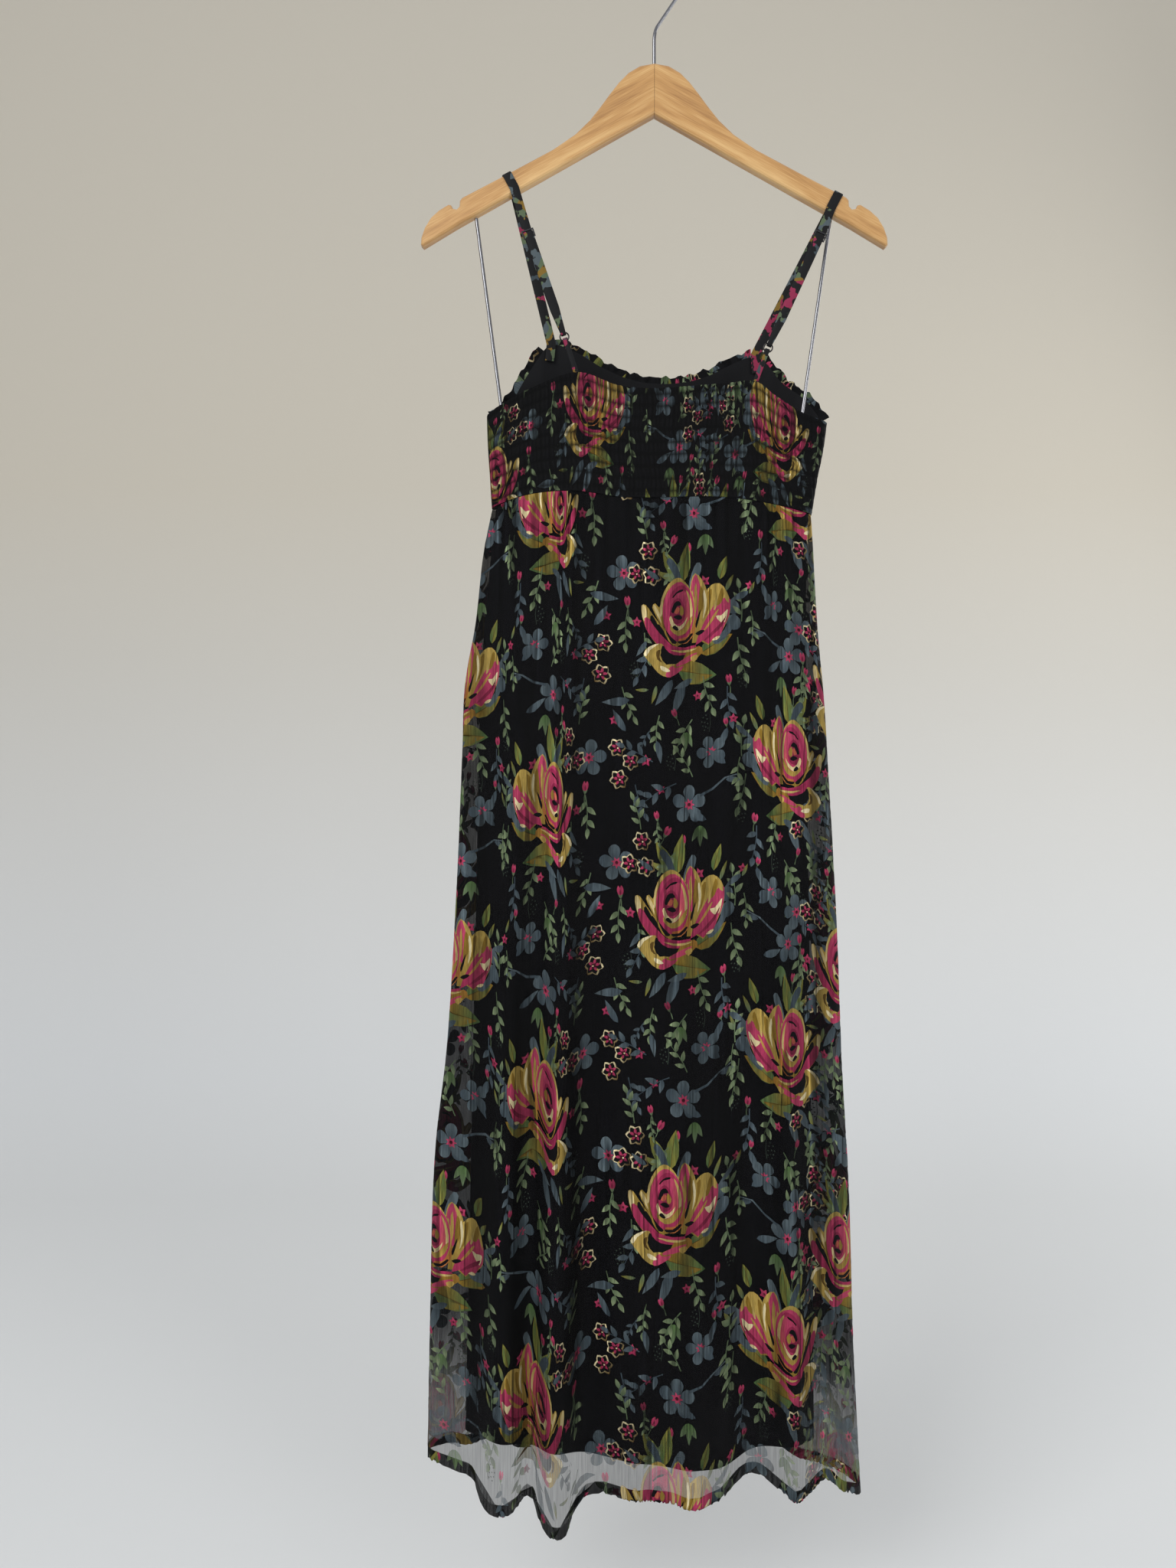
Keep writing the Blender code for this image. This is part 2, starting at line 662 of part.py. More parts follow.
def edge_heights(edge, side, fractions):
    """Heights at which a panel's columns meet an edge, whose height changes across the panel."""
    heights = np.full(len(fractions), edge[0].z)
    for _ in range(EDGE_TRIES):
        for column, fraction in enumerate(fractions):
            x, _, _, _ = spaced(*bodice_ring(heights[column], side), [fraction])
            heights[column] = through(edge, "x", "z", x[0])
    return heights


def bodice_grid(top_edge, side, columns, rows):
    """Rows of points down a bodice panel from its top edge to the waist seam, with their normals in plan."""
    fractions = np.linspace(0.0, 1.0, columns + 1)
    top_z = edge_heights(top_edge, side, fractions)
    low_z = edge_heights(WAIST_SEAM, side, fractions) + WAIST_HALF_GAP
    points = np.zeros((len(rows), columns + 1, 3))
    normals = np.zeros((len(rows), columns + 1, 2))
    for row, share in enumerate(rows):
        for column in range(columns + 1):
            z = top_z[column] + (low_z[column] - top_z[column]) * share
            x, y, nx, ny = spaced(*bodice_ring(z, side), fractions[column : column + 1])
            points[row, column] = (x[0], y[0], z)
            normals[row, column] = (nx[0], ny[0])
        normals[row, :, 0], normals[row, :, 1] = seam_normals(
            normals[row, :, 0].copy(), normals[row, :, 1].copy(), side
        )
    points[:, :, 1] += side * HALF_GAP
    return points, normals


def moved(points, normals, amount):
    """A grid moved along its plan normals by an amount, one for all or one for each point."""
    shift = np.zeros_like(points)
    shift[:, :, :2] = normals * np.broadcast_to(amount, normals.shape[:2])[:, :, None]
    return points + shift


def back_bodice():
    """The shirred back panel: gathers pinched by rows of elastic on the outside, plain inside."""
    columns = 2 * BACK_GATHERS
    rows = np.linspace(0.0, 1.0, SMOCK_POINT_ROWS + 1)
    base, normals = bodice_grid(BACK_TOP_EDGE, -1, columns, rows)
    gather = np.where(np.arange(columns + 1) % 2 == 0, 0.0, SMOCK_RELIEF)
    pinch = np.where(np.arange(len(rows)) % 2 == 1, SMOCK_AT_ELASTIC, 1.0)
    outer = moved(base, normals, pinch[:, None] * gather[None, :])
    inside, inside_normals = bodice_grid(BACK_TOP_EDGE, -1, columns, np.array([0.0, 0.5, 1.0]))
    inner = moved(inside, inside_normals, -BODICE_WALL)
    add_solid("bodice_back_shirred", *wall(outer, inner), "printed_chiffon")


def front_bodice():
    """The front's outer layer with soft cups, gathered into the neck edge and the waist seam."""
    columns = 2 * FRONT_GATHERS
    rows = np.linspace(0.0, 1.0, FRONT_BODICE_ROWS + 1)
    base, normals = bodice_grid(FRONT_TOP_EDGE, 1, columns, rows)
    fade = np.abs(2 * rows - 1) ** FRONT_GATHER_FADE
    wave = fade[:, None] * gather_wave(columns, FRONT_GATHER_HEIGHT)[None, :]
    outer = moved(base, normals, wave)
    inner = moved(base, normals, wave - BODICE_WALL)
    add_solid("bodice_front", *wall(outer, inner), "printed_chiffon")


def front_lining():
    """The black lining inside the front, whose edge shows above the back panel."""
    rows = np.linspace(0.0, 1.0, FRONT_LINING_ROWS + 1)
    depth_in = BODICE_WALL + FRONT_GATHER_HEIGHT + GAP
    base, normals = bodice_grid(FRONT_TOP_EDGE, 1, FRONT_LINING_COLUMNS, rows)
    outer = moved(base, normals, -depth_in)
    inner = moved(base, normals, -depth_in - LINING_WALL)
    add_solid("bodice_front_lining", *wall(outer, inner), "black_lining")


def ruffle(shape):
    """A frill that stands on the front's top edge, waved from side to side."""
    columns = shape.waves * RUFFLE_COLUMNS_PER_WAVE
    x = np.linspace(shape.start_x, shape.end_x, columns + 1)
    z = through(FRONT_TOP_EDGE, "x", "z", x)
    y = np.array([bodice_y(px, pz, 1) for px, pz in zip(x, z)]) - BODICE_WALL / 2 + HALF_GAP
    slope_x = np.gradient(x)
    slope_z = np.gradient(z)
    length = np.hypot(slope_x, slope_z)
    up_x = -slope_z / length
    up_z = slope_x / length
    wave = np.where(np.arange(columns + 1) % 2 == 0, -1.0, 1.0)
    outer = []
    inner = []
    for height, swing, lean in (
        (RUFFLE_FOOT + RUFFLE_HEIGHT, RUFFLE_WAVE_TOP, RUFFLE_LEAN),
        (RUFFLE_FOOT, RUFFLE_WAVE_FOOT, 0.0),
    ):
        middle = np.stack([x + up_x * height, y + lean + wave * swing, z + up_z * height], axis=1)
        outer.append(middle + np.array([0.0, RUFFLE_WALL / 2, 0.0]))
        inner.append(middle - np.array([0.0, RUFFLE_WALL / 2, 0.0]))
    add_solid(shape.name, *wall(np.array(outer), np.array(inner)), "printed_chiffon")


def skirt_curve(rings, folds, share, side, length, fold_amount):
    """Half of a skirt's ring at a share of the way from waist to hem, with its folds."""
    drop = share * length
    left = float(through(rings, "drop", "left", drop))
    right = float(through(rings, "drop", "right", drop))
    depth = side * float(through(rings, "drop", "back" if side < 0 else "front", drop))
    x, y = half_ring(left, right, depth)
    return with_folds(x, y, folds, share, side, fold_amount)


def skirt_grid(rings, folds, side, columns, rows, hem_edge, fold_amount=1.0, waist_drop=0.0):
    """Rows of points down a skirt panel from the waist seam to its hem, with their normals in plan."""
    fractions = np.linspace(0.0, 1.0, columns + 1)
    length = rings[-1].drop
    points = np.zeros((len(rows), columns + 1, 3))
    normals = np.zeros((len(rows), columns + 1, 2))
    waist_x, _, _, _ = spaced(*skirt_curve(rings, folds, 0.0, side, length, fold_amount), fractions)
    waist_z = through(WAIST_SEAM, "x", "z", waist_x) - WAIST_HALF_GAP - waist_drop
    for row, share in enumerate(rows):
        x, y, nx, ny = spaced(*skirt_curve(rings, folds, share, side, length, fold_amount), fractions)
        hem_x, _, _, _ = spaced(*skirt_curve(rings, folds, 1.0, side, length, fold_amount), fractions)
        hem_z = through(hem_edge, "x", "z", hem_x)
        points[row] = np.stack([x, y + side * HALF_GAP, waist_z + (hem_z - waist_z) * share], axis=1)
        normals[row, :, 0], normals[row, :, 1] = seam_normals(nx, ny, side)
    return points, normals


def chiffon_skirt(name, side, folds, gathers, hem_edge):
    """One chiffon panel, gathered at the waist, fluted at the hem, with a narrow turned hem."""
    columns = 2 * gathers
    length = CHIFFON_RINGS[-1].drop
    hem_top = 1 - HEM_HEIGHT / length
    rows = np.array([*CHIFFON_ROWS, hem_top - HEM_STEP / length, hem_top, 1.0])
    extra = np.array([0.0] * (len(rows) - 2) + [HEM_EXTRA, HEM_EXTRA])
    base, normals = skirt_grid(CHIFFON_RINGS, folds, side, columns, rows, hem_edge)
    fade = 1 - rise(rows / GATHER_FADE)
    wave = fade[:, None] * gather_wave(columns, SKIRT_GATHER_HEIGHT)[None, :]
    outer = moved(base, normals, wave + extra[:, None])
    inner = moved(base, normals, wave - CHIFFON_WALL - extra[:, None])
    add_solid(name, *wall(outer, inner), "printed_chiffon")


def lining_skirt(name, side, folds, hem_edge):
    """One panel of the black lining, shorter and narrower than the chiffon."""
    rows = np.array(LINING_ROWS)
    base, normals = skirt_grid(
        LINING_RINGS, folds, side, LINING_COLUMNS, rows, hem_edge, LINING_FOLD_SHARE, LINING_WAIST_DROP
    )
    inner = moved(base, normals, -LINING_WALL)
    add_solid(name, *wall(base, inner), "black_lining")


def arm_top(x):
    """Height and outward direction of the hanger's top edge where a strap crosses it."""
    top = ARM_OUTLINE[:ARM_TOP_POINTS]
    reach = abs(x)
    step = 1.0
    z = float(np.interp(reach, [p.x for p in top], [p.z for p in top]))
    ahead = float(np.interp(reach + step, [p.x for p in top], [p.z for p in top]))
    slope = math.atan2(z - ahead, step)
    sign = math.copysign(1.0, x)
    outward = np.array([sign * math.sin(slope), 0.0, math.cos(slope)])
    along = np.array([math.cos(slope), 0.0, -sign * math.sin(slope)])
    return z, outward, along


def across_run(start, end):
    """Direction of a strap's width where it runs from start to end, level with the panel it lies over."""
    run = np.array([end[0] - start[0], 0.0, end[2] - start[2]])
    run /= np.linalg.norm(run)
    if run[2] > 0:
        run = -run
    return np.array([-run[2], 0.0, run[0]])


def half_turn(centre, first, last, radius):
    """Points of a half circle about centre, from the first direction through the last one to its opposite."""
    points = []
    for step in range(TURN_STEPS + 1):
        angle = math.pi * step / TURN_STEPS
        points.append(centre + radius * (math.cos(angle) * first + math.sin(angle) * last))
    return points


def strap(side):
    """One strap, from inside the front's peak over the hanger's arm to the ring, and back to the slider."""
    depth = np.array([0.0, 1.0, 0.0])
    top_z, outward, along = arm_top(side.cross_x)
    crossing = np.array([side.cross_x, 0.0, top_z])
    lining_in = BODICE_WALL + FRONT_GATHER_HEIGHT + GAP + LINING_WALL + GAP + STRAP_WALL / 2 + HALF_GAP
    peak_y = bodice_y(side.peak_x, side.peak_z, 1) - lining_in - STRAP_BEHIND_LINING
    sewn_y = bodice_y(side.peak_x, side.peak_z - STRAP_SEWN_LENGTH, 1) - lining_in - STRAP_BEHIND_LINING
    corner = ARM_DEPTH / 2 - ARM_ROUNDING
    off_wood = ARM_ROUNDING + GAP + STRAP_WALL / 2
    face_y = corner + off_wood
    peak = np.array([side.peak_x, peak_y, side.peak_z + STRAP_ABOVE_PEAK])
    sewn = np.array([side.peak_x + side.sign * STRAP_SEWN_SHIFT, sewn_y, side.peak_z - STRAP_SEWN_LENGTH])
    front_face = crossing - outward * STRAP_FACE_RUN + depth * face_y
    back_face = crossing - outward * STRAP_FACE_RUN - depth * face_y
    ring = np.array([side.ring_x, STRAP_DEPTH_AT_RING, side.ring_z])
    slider = slider_place(side)
    path = [sewn, peak, (peak + front_face) / 2, front_face]
    sides = [across_run(peak, front_face)] * 3 + [along]
    widths = [STRAP_WIDTH] * 4
    for centre_y, start_deg, end_deg in ((corner, 0.0, 90.0), (-corner, 90.0, 180.0)):
        for step in range(5):
            angle = math.radians(start_deg + (end_deg - start_deg) * step / 4)
            place = crossing + depth * (centre_y + off_wood * math.cos(angle))
            path.append(place + outward * (off_wood * math.sin(angle) - ARM_ROUNDING))
            sides.append(along)
            widths.append(STRAP_WIDTH)
    path.append(back_face)
    sides.append(along)
    widths.append(STRAP_WIDTH)
    run = ring - slider
    run[1] = 0.0
    run /= np.linalg.norm(run)
    lateral = across_run(slider, ring)
    behind = RING_WIRE + GAP + STRAP_WALL / 2
    bar_round = SLIDER_BAR / 2 + GAP + STRAP_WALL / 2
    main_behind = bar_round + STRAP_WALL + GAP
    slider_main = slider + depth * main_behind
    turn_centre = ring - run * (behind * 2)
    path += [slider_main - run * STRAP_BESIDE_SLIDER, slider_main + run * STRAP_BESIDE_SLIDER]
    path.append(slider_main + (turn_centre + depth * behind - slider_main) * STRAP_NEAR_RING)
    path += half_turn(turn_centre, depth, run, behind)
    return_start = turn_centre - depth * behind
    return_end = slider - depth * bar_round
    path.append(return_start + (return_end - return_start) * (1 - STRAP_NEAR_RING))
    path.append(return_end + run * STRAP_BAR_RUN)
    path += half_turn(slider, -depth, -run, bar_round)
    path.append(slider + depth * bar_round + run * STRAP_END_RUN)
    sides += [lateral] * (len(path) - len(sides))
    narrow = [STRAP_WIDTH_AT_RING] * (TURN_STEPS + 1)
    widths += [STRAP_WIDTH] * 3 + narrow
    widths += [STRAP_WIDTH] * (len(path) - len(widths))
    add_solid(f"strap_{side.name}", *band(path, sides, widths, STRAP_WALL), "printed_chiffon")


def slider_place(side):
    """Middle of the slider's centre bar."""
    return np.array([side.slider_x, STRAP_DEPTH_AT_SLIDER, side.slider_z])


def strap_slider(side):
    """The slider: a small plate with two slots, whose centre bar the strap's end wraps."""
    place = slider_place(side)
    ring = np.array([side.ring_x, 0.0, side.ring_z])
    lateral = across_run(place, ring)
    down = np.array([lateral[2], 0.0, -lateral[0]])
    depth = np.array([0.0, 1.0, 0.0])
    half_slot = SLIDER_SLOT_WIDTH / 2
    half_width = SLIDER_WIDTH / 2
    half_bar = SLIDER_BAR / 2
    half_height = SLIDER_HEIGHT / 2
    across = (-half_width, -half_slot, half_slot, half_width)
    tall = (-half_height, SLIDER_BAR - half_height, -half_bar, half_bar, half_height - SLIDER_BAR, half_height)
    slots = {(1, 1), (1, 3)}
    cells = {(i, j) for i in range(3) for j in range(5)} - slots
    index = {}
    points = []

    def corner(i, j, face):
        key = (i, j, face)
        if key not in index:
            index[key] = len(points)
            points.append(place + lateral * across[i] + down * tall[j] + depth * face * half_bar)
        return index[key]

    faces = []
    for i, j in sorted(cells):
        low = [corner(i, j, -1), corner(i + 1, j, -1), corner(i + 1, j + 1, -1), corner(i, j + 1, -1)]
        high = [corner(i, j, 1), corner(i + 1, j, 1), corner(i + 1, j + 1, 1), corner(i, j + 1, 1)]
        faces.append(tuple(low))
        faces.append(tuple(reversed(high)))
        beside = ((i, j - 1), (i + 1, j), (i, j + 1), (i - 1, j))
        for edge, neighbour in enumerate(beside):
            if neighbour not in cells:
                after = (edge + 1) % 4
                faces.append((low[after], low[edge], high[edge], high[after]))
    add_solid(f"slider_{side.name}", points, faces, "black_plastic")


def strap_ring(side):
    """The small metal ring between the strap and its tab."""
    centre = np.array([side.ring_x, STRAP_DEPTH_AT_RING, side.ring_z])
    path = []
    for step in range(RING_STEPS):
        angle = 2 * math.pi * step / RING_STEPS
        path.append(centre + RING_RADIUS * np.array([math.cos(angle), 0.0, math.sin(angle)]))
    add_solid(f"ring_{side.name}", *tube(path, RING_WIRE, 6, closed=True), "dark_metal")


def ring_tab(side):
    """The short loop that holds a ring to the inside of the back panel's top edge."""
    depth = np.array([0.0, 1.0, 0.0])
    ring = np.array([side.ring_x, STRAP_DEPTH_AT_RING, side.ring_z])
    edge = np.array([side.tab_x, 0.0, side.tab_z])
    run = edge - ring
    run[1] = 0.0
    run /= np.linalg.norm(run)
    lateral = across_run(ring, edge)
    around = RING_WIRE + GAP + TAB_WALL / 2
    turn_centre = ring + run * (around * TAB_TURN)
    sewn_z = side.tab_z - TAB_SEWN_LENGTH
    sewn_x = side.tab_x + run[0] * TAB_SEWN_LENGTH
    clear_of_panel = BODICE_WALL + GAP + TAB_WALL / 2 + HALF_GAP
    edge_y = bodice_y(side.tab_x, side.tab_z, -1) + clear_of_panel
    sewn_y = bodice_y(sewn_x, sewn_z, -1) + clear_of_panel
    near_top = np.array([side.tab_x, edge_y, side.tab_z + TAB_ABOVE_EDGE])
    near_low = np.array([sewn_x, sewn_y, sewn_z])
    apart = depth * TAB_SPACING
    path = [near_low, near_top]
    path += half_turn(turn_centre, -depth, -run, around)
    path += [near_top + apart, near_low + apart]
    add_solid(
        f"ring_tab_{side.name}",
        *band(path, [lateral] * len(path), [TAB_WIDTH] * len(path), TAB_WALL),
        "printed_chiffon",
    )


def build():
    """Makes every piece of the hanger and of the dress."""
    clear_scene()
    hanger_arm("hanger_arm_left", -1)
    hanger_arm("hanger_arm_right", 1)
    hanger_hook()
    drop_bar()
    back_bodice()
    front_bodice()
    front_lining()
    for shape in RUFFLES:
        ruffle(shape)
    chiffon_skirt("skirt_back", -1, BACK_FOLDS, BACK_SKIRT_GATHERS, HEM_EDGE_BACK)
    chiffon_skirt("skirt_front", 1, FRONT_FOLDS, FRONT_SKIRT_GATHERS, HEM_EDGE_FRONT)
    lining_skirt("lining_skirt_back", -1, BACK_FOLDS, LINING_HEM_BACK)
    lining_skirt("lining_skirt_front", 1, FRONT_FOLDS, LINING_HEM_FRONT)
    for side in STRAP_SIDES:
        strap(side)
        strap_slider(side)
        strap_ring(side)
        ring_tab(side)


build()
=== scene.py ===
import math
from collections import namedtuple

import bpy
import numpy as np
from mathutils.geometry import delaunay_2d_cdt
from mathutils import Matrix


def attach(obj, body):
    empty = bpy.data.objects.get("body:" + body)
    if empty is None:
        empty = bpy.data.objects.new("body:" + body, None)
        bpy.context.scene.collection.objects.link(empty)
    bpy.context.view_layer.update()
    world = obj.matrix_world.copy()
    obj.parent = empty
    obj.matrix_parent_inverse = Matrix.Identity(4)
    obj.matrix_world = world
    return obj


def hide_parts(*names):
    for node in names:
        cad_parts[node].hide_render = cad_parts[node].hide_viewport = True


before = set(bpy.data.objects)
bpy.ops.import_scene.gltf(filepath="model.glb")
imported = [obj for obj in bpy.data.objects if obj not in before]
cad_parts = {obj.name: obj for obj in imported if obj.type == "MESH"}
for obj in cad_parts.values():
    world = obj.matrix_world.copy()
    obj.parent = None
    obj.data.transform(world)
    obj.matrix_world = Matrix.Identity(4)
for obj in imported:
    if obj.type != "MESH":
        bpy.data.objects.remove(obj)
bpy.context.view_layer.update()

# Looks of a maxi dress of printed crinkle chiffon that hangs on a wooden hanger, its back towards -Y.
# Lengths are millimetres until a mesh is made. The forms repeat the solids' own tables and curves.

MM = 0.001


def listed(columns, *rows):
    """A table whose rows have named columns."""
    row = namedtuple("Row", columns)
    return tuple(row(*values) for values in rows)


# Camera, level with the middle of the dress, at the photograph's distance
CAMERA_PLACE = (-0.0637, -1.133, -0.793)
CAMERA_LENS = 27.0
CAMERA_SENSOR = 36.0
CAMERA_PITCH = math.radians(90)


def make_camera():
    """A level camera that looks along +Y at the back of the dress."""
    lens = bpy.data.cameras.new("camera")
    lens.lens = CAMERA_LENS
    lens.sensor_width = CAMERA_SENSOR
    lens.dof.use_dof = False
    camera = bpy.data.objects.new("camera", lens)
    camera.location = CAMERA_PLACE
    camera.rotation_euler = (CAMERA_PITCH, 0.0, 0.0)
    bpy.context.scene.collection.objects.link(camera)
    bpy.context.scene.camera = camera


make_camera()

# Tables repeated from the solids
GAP = 0.3
HALF_GAP = GAP / 2
WAIST_HALF_GAP = 0.22
LINING_WAIST_DROP = 1.6
ARM_DEPTH = 12.0
ARM_ROUNDING = 3.0
UNDERSIDE_TOP_Z = -150.3
UNDERSIDE_SLOPE = math.tan(math.radians(29.5))
CROWN_TOP_Z = -101.4
WIRE_RADIUS = 1.65
HOOK_RADIUS = 25.0
HOOK_TIP_DEG = 166.0
HOOK_END_DEG = -38.0
SHANK_BEND_Z = -68.0
BAR_LEFT_TOP_X = -171.3
BAR_RIGHT_TOP_X = 169.8
BAR_LEFT_LOW_X = -142.0
BAR_RIGHT_LOW_X = 137.5
BAR_LOW_Z = -471.0
BAR_BEND_RADIUS = 14.0
BAR_TOP_CLEARANCE = 1.3
LINING_WALL = 1.2
BODICE_WALL = 1.5
RING_FULLNESS = 2.7
RING_SAMPLES = 721
SKIRT_PRINT_TOP_Z = -522.0
ARM_OUTLINE = listed(
    "x z",
    (0.0, -101.4), (14.0, -104.0), (25.0, -110.5), (34.0, -119.5), (43.0, -131.0), (52.5, -144.0),
    (62.3, -156.2), (76.0, -169.5), (97.5, -184.2), (147.0, -210.7), (184.5, -230.3), (186.6, -233.0),
    (186.9, -238.4), (189.6, -241.4), (193.0, -240.9), (194.8, -237.4), (197.6, -236.9), (207.0, -242.6),
    (214.6, -249.5), (220.4, -259.0), (223.6, -268.5), (224.0, -275.0), (221.8, -277.0),
)
BODICE_RINGS = listed(
    "z left right back front",
    (-360.0, -161.0, 166.5, 12.5, 15.5),
    (-400.0, -161.0, 166.5, 13.5, 20.0),
    (-440.0, -161.0, 166.5, 14.5, 24.0),
    (-470.0, -160.0, 163.0, 15.0, 24.5),
    (-500.0, -158.0, 157.0, 15.5, 23.0),
    (-540.0, -155.5, 150.5, 16.0, 21.5),
)
WAIST_SEAM = listed(
    "x z",
    (-156.0, -528.2), (-121.6, -517.5), (-75.5, -514.5), (-31.3, -520.5), (66.7, -520.5), (110.0, -526.0),
    (151.0, -534.5),
)
BACK_TOP_EDGE = listed(
    "x z",
    (-161.0, -439.5), (-146.2, -430.0), (-110.0, -412.0), (-72.6, -401.0), (-35.7, -413.5),
    (-10.0, -416.5), (33.5, -414.5), (68.9, -411.5), (98.0, -410.5), (114.0, -422.5), (141.0, -438.5),
    (166.5, -446.5),
)
FRONT_TOP_EDGE = listed(
    "x z",
    (-161.0, -439.5), (-150.5, -434.0), (-140.0, -423.5), (-128.6, -403.7), (-114.2, -381.0),
    (-102.0, -366.5), (-80.0, -370.0), (-46.8, -386.8), (-16.6, -398.0), (5.5, -400.8), (32.0, -399.0),
    (57.0, -391.9), (81.4, -381.0), (97.0, -377.0), (109.4, -382.0), (125.0, -401.0), (146.2, -417.5),
    (157.3, -431.0), (166.5, -446.5),
)
CUPS = listed(
    "x z width height fullness",
    (-64.0, -428.0, 52.0, 46.0, 9.0),
    (66.0, -432.0, 52.0, 46.0, 9.0),
)
FRONT_GATHER_HEIGHT = 0.8
RUFFLE_HEIGHT = 7.5
RUFFLE_WAVE_TOP = 1.9
FRILL_FOOT = -1.4
RUFFLE_LEAN = 1.5
RUFFLES = listed(
    "name replaced start_x end_x waves",
    ("frill_armhole_left", "armhole_ruffle_left", -158.0, -106.5, 10),
    ("frill_neck", "neck_ruffle", -100.5, 95.5, 22),
    ("frill_armhole_right", "armhole_ruffle_right", 101.5, 163.5, 11),
)
CHIFFON_RINGS = listed(
    "drop left right back front",
    (0.0, -156.0, 151.0, 17.2, 23.0),
    (40.0, -164.0, 153.5, 19.0, 25.0),
    (115.0, -172.5, 158.0, 21.0, 28.0),
    (175.0, -182.5, 163.5, 22.0, 30.0),
    (240.0, -185.0, 167.5, 23.0, 32.0),
    (385.0, -191.0, 175.5, 24.0, 34.0),
    (540.0, -200.5, 181.5, 25.0, 36.0),
    (635.0, -211.0, 187.0, 25.5, 37.0),
    (800.0, -216.0, 192.0, 26.0, 38.0),
    (940.0, -218.5, 199.0, 27.0, 40.0),
)
LINING_RINGS = listed(
    "drop left right back front",
    (0.0, -152.6, 147.6, 13.8, 19.6),
    (40.0, -157.0, 147.0, 14.2, 20.4),
    (150.0, -166.0, 146.5, 15.0, 22.0),
    (400.0, -172.0, 149.5, 16.0, 24.0),
    (700.0, -178.0, 152.5, 17.0, 26.0),
    (900.0, -182.0, 154.0, 18.0, 27.0),
)
BACK_FOLDS = listed(
    "top_x hem_x start top_width hem_width height spread",
    (-138.0, -146.0, 0.16, 13.0, 19.0, 27.0, 5.0),
    (-86.0, -95.0, 0.10, 12.0, 16.5, 35.0, 6.0),
    (-20.0, -24.0, 0.06, 16.0, 30.0, 15.0, 2.0),
    (30.0, 36.0, 0.04, 16.0, 32.0, 19.0, 2.0),
    (112.0, 132.0, 0.12, 12.0, 17.0, 24.0, 4.0),
    (145.0, 176.0, 0.30, 9.0, 13.0, 13.0, 1.0),
)
FRONT_FOLDS = listed(
    "top_x hem_x start top_width hem_width height spread",
    (-128.0, -158.0, 0.14, 12.0, 18.0, 16.0, 3.0),
    (-78.0, -98.0, 0.08, 13.0, 20.0, 22.0, 4.0),
    (-18.0, -30.0, 0.12, 15.0, 24.0, 18.0, 3.0),
    (42.0, 46.0, 0.06, 14.0, 22.0, 24.0, 4.0),
    (98.0, 116.0, 0.16, 12.0, 19.0, 17.0, 3.0),
)
FOLD_SEAM_FADE = 8.0
LINING_FOLD_SHARE = 0.42
HEM_EDGE_BACK = listed(
    "x z",
    (-218.5, -1438.0), (-186.0, -1445.0), (-172.0, -1451.0), (-164.0, -1464.0), (-148.0, -1470.0),
    (-132.0, -1467.0), (-122.0, -1458.0), (-114.0, -1464.0), (-106.0, -1478.0), (-94.0, -1482.0),
    (-80.0, -1479.0), (-72.0, -1466.0), (-60.0, -1458.0), (-10.0, -1460.0), (36.0, -1464.0),
    (60.0, -1460.0), (78.0, -1446.0), (94.0, -1443.0), (112.0, -1451.0), (130.0, -1458.0),
    (148.0, -1453.0), (160.0, -1450.0), (182.0, -1464.0), (199.0, -1474.0),
)
HEM_EDGE_FRONT = listed(
    "x z",
    (-218.5, -1438.0), (-158.0, -1450.0), (-98.0, -1456.0), (-30.0, -1452.0), (46.0, -1458.0),
    (116.0, -1456.0), (199.0, -1472.0),
)
LINING_HEM_BACK = listed(
    "x z",
    (-182.0, -1413.0), (-95.0, -1421.0), (-20.0, -1433.0), (40.0, -1440.0), (66.0, -1438.0),
    (90.0, -1425.0), (154.0, -1421.0),
)
LINING_HEM_FRONT = listed(
    "x z",
    (-182.0, -1398.0), (-30.0, -1404.0), (60.0, -1406.0), (154.0, -1408.0),
)
STRAP_WALL = 1.2
STRAP_WIDTH = 9.0
STRAP_WIDTH_AT_RING = 4.8
STRAP_SEWN_LENGTH = 14.0
RING_RADIUS = 4.2
RING_WIRE = 0.7
TAB_WALL = 1.0
TAB_WIDTH = 4.8
TAB_SEWN_LENGTH = 12.0
TAB_SPACING = 1.3
SLIDER_BAR = 1.2
STRAP_SIDES = listed(
    "name sign cross_x slider_x slider_z ring_x ring_z peak_x peak_z tab_x tab_z",
    ("left", -1, -141.8, -120.5, -268.2, -86.2, -366.9, -99.5, -367.0, -75.5, -402.0),
    ("right", 1, 176.8, 157.3, -270.4, 107.9, -377.2, 99.0, -378.0, 96.5, -411.0),
)
TURN_STEPS = 6
EDGE_TRIES = 4


# Curves repeated from the solids
def through(table, key, value, at):
    """A smooth curve through two columns of a table, read at one or more places. It is flat past the ends."""
    keys = np.array([getattr(row, key) for row in table])
    values = np.array([getattr(row, value) for row in table])
    if keys[0] > keys[-1]:
        keys = keys[::-1]
        values = values[::-1]
    slopes = np.diff(values) / np.diff(keys)
    tangents = np.concatenate([[slopes[0]], (slopes[1:] + slopes[:-1]) / 2, [slopes[-1]]])
    at = np.clip(np.asarray(at, float), keys[0], keys[-1])
    low = np.clip(np.searchsorted(keys, at) - 1, 0, len(keys) - 2)
    span = keys[low + 1] - keys[low]
    t = (at - keys[low]) / span
    return (
        (2 * t**3 - 3 * t**2 + 1) * values[low]
        + (t**3 - 2 * t**2 + t) * span * tangents[low]
        + (3 * t**2 - 2 * t**3) * values[low + 1]
        + (t**3 - t**2) * span * tangents[low + 1]
    )


def rise(share):
    """0 at 0 and 1 at 1, level at both."""
    share = np.clip(share, 0.0, 1.0)
    return share * share * (3 - 2 * share)


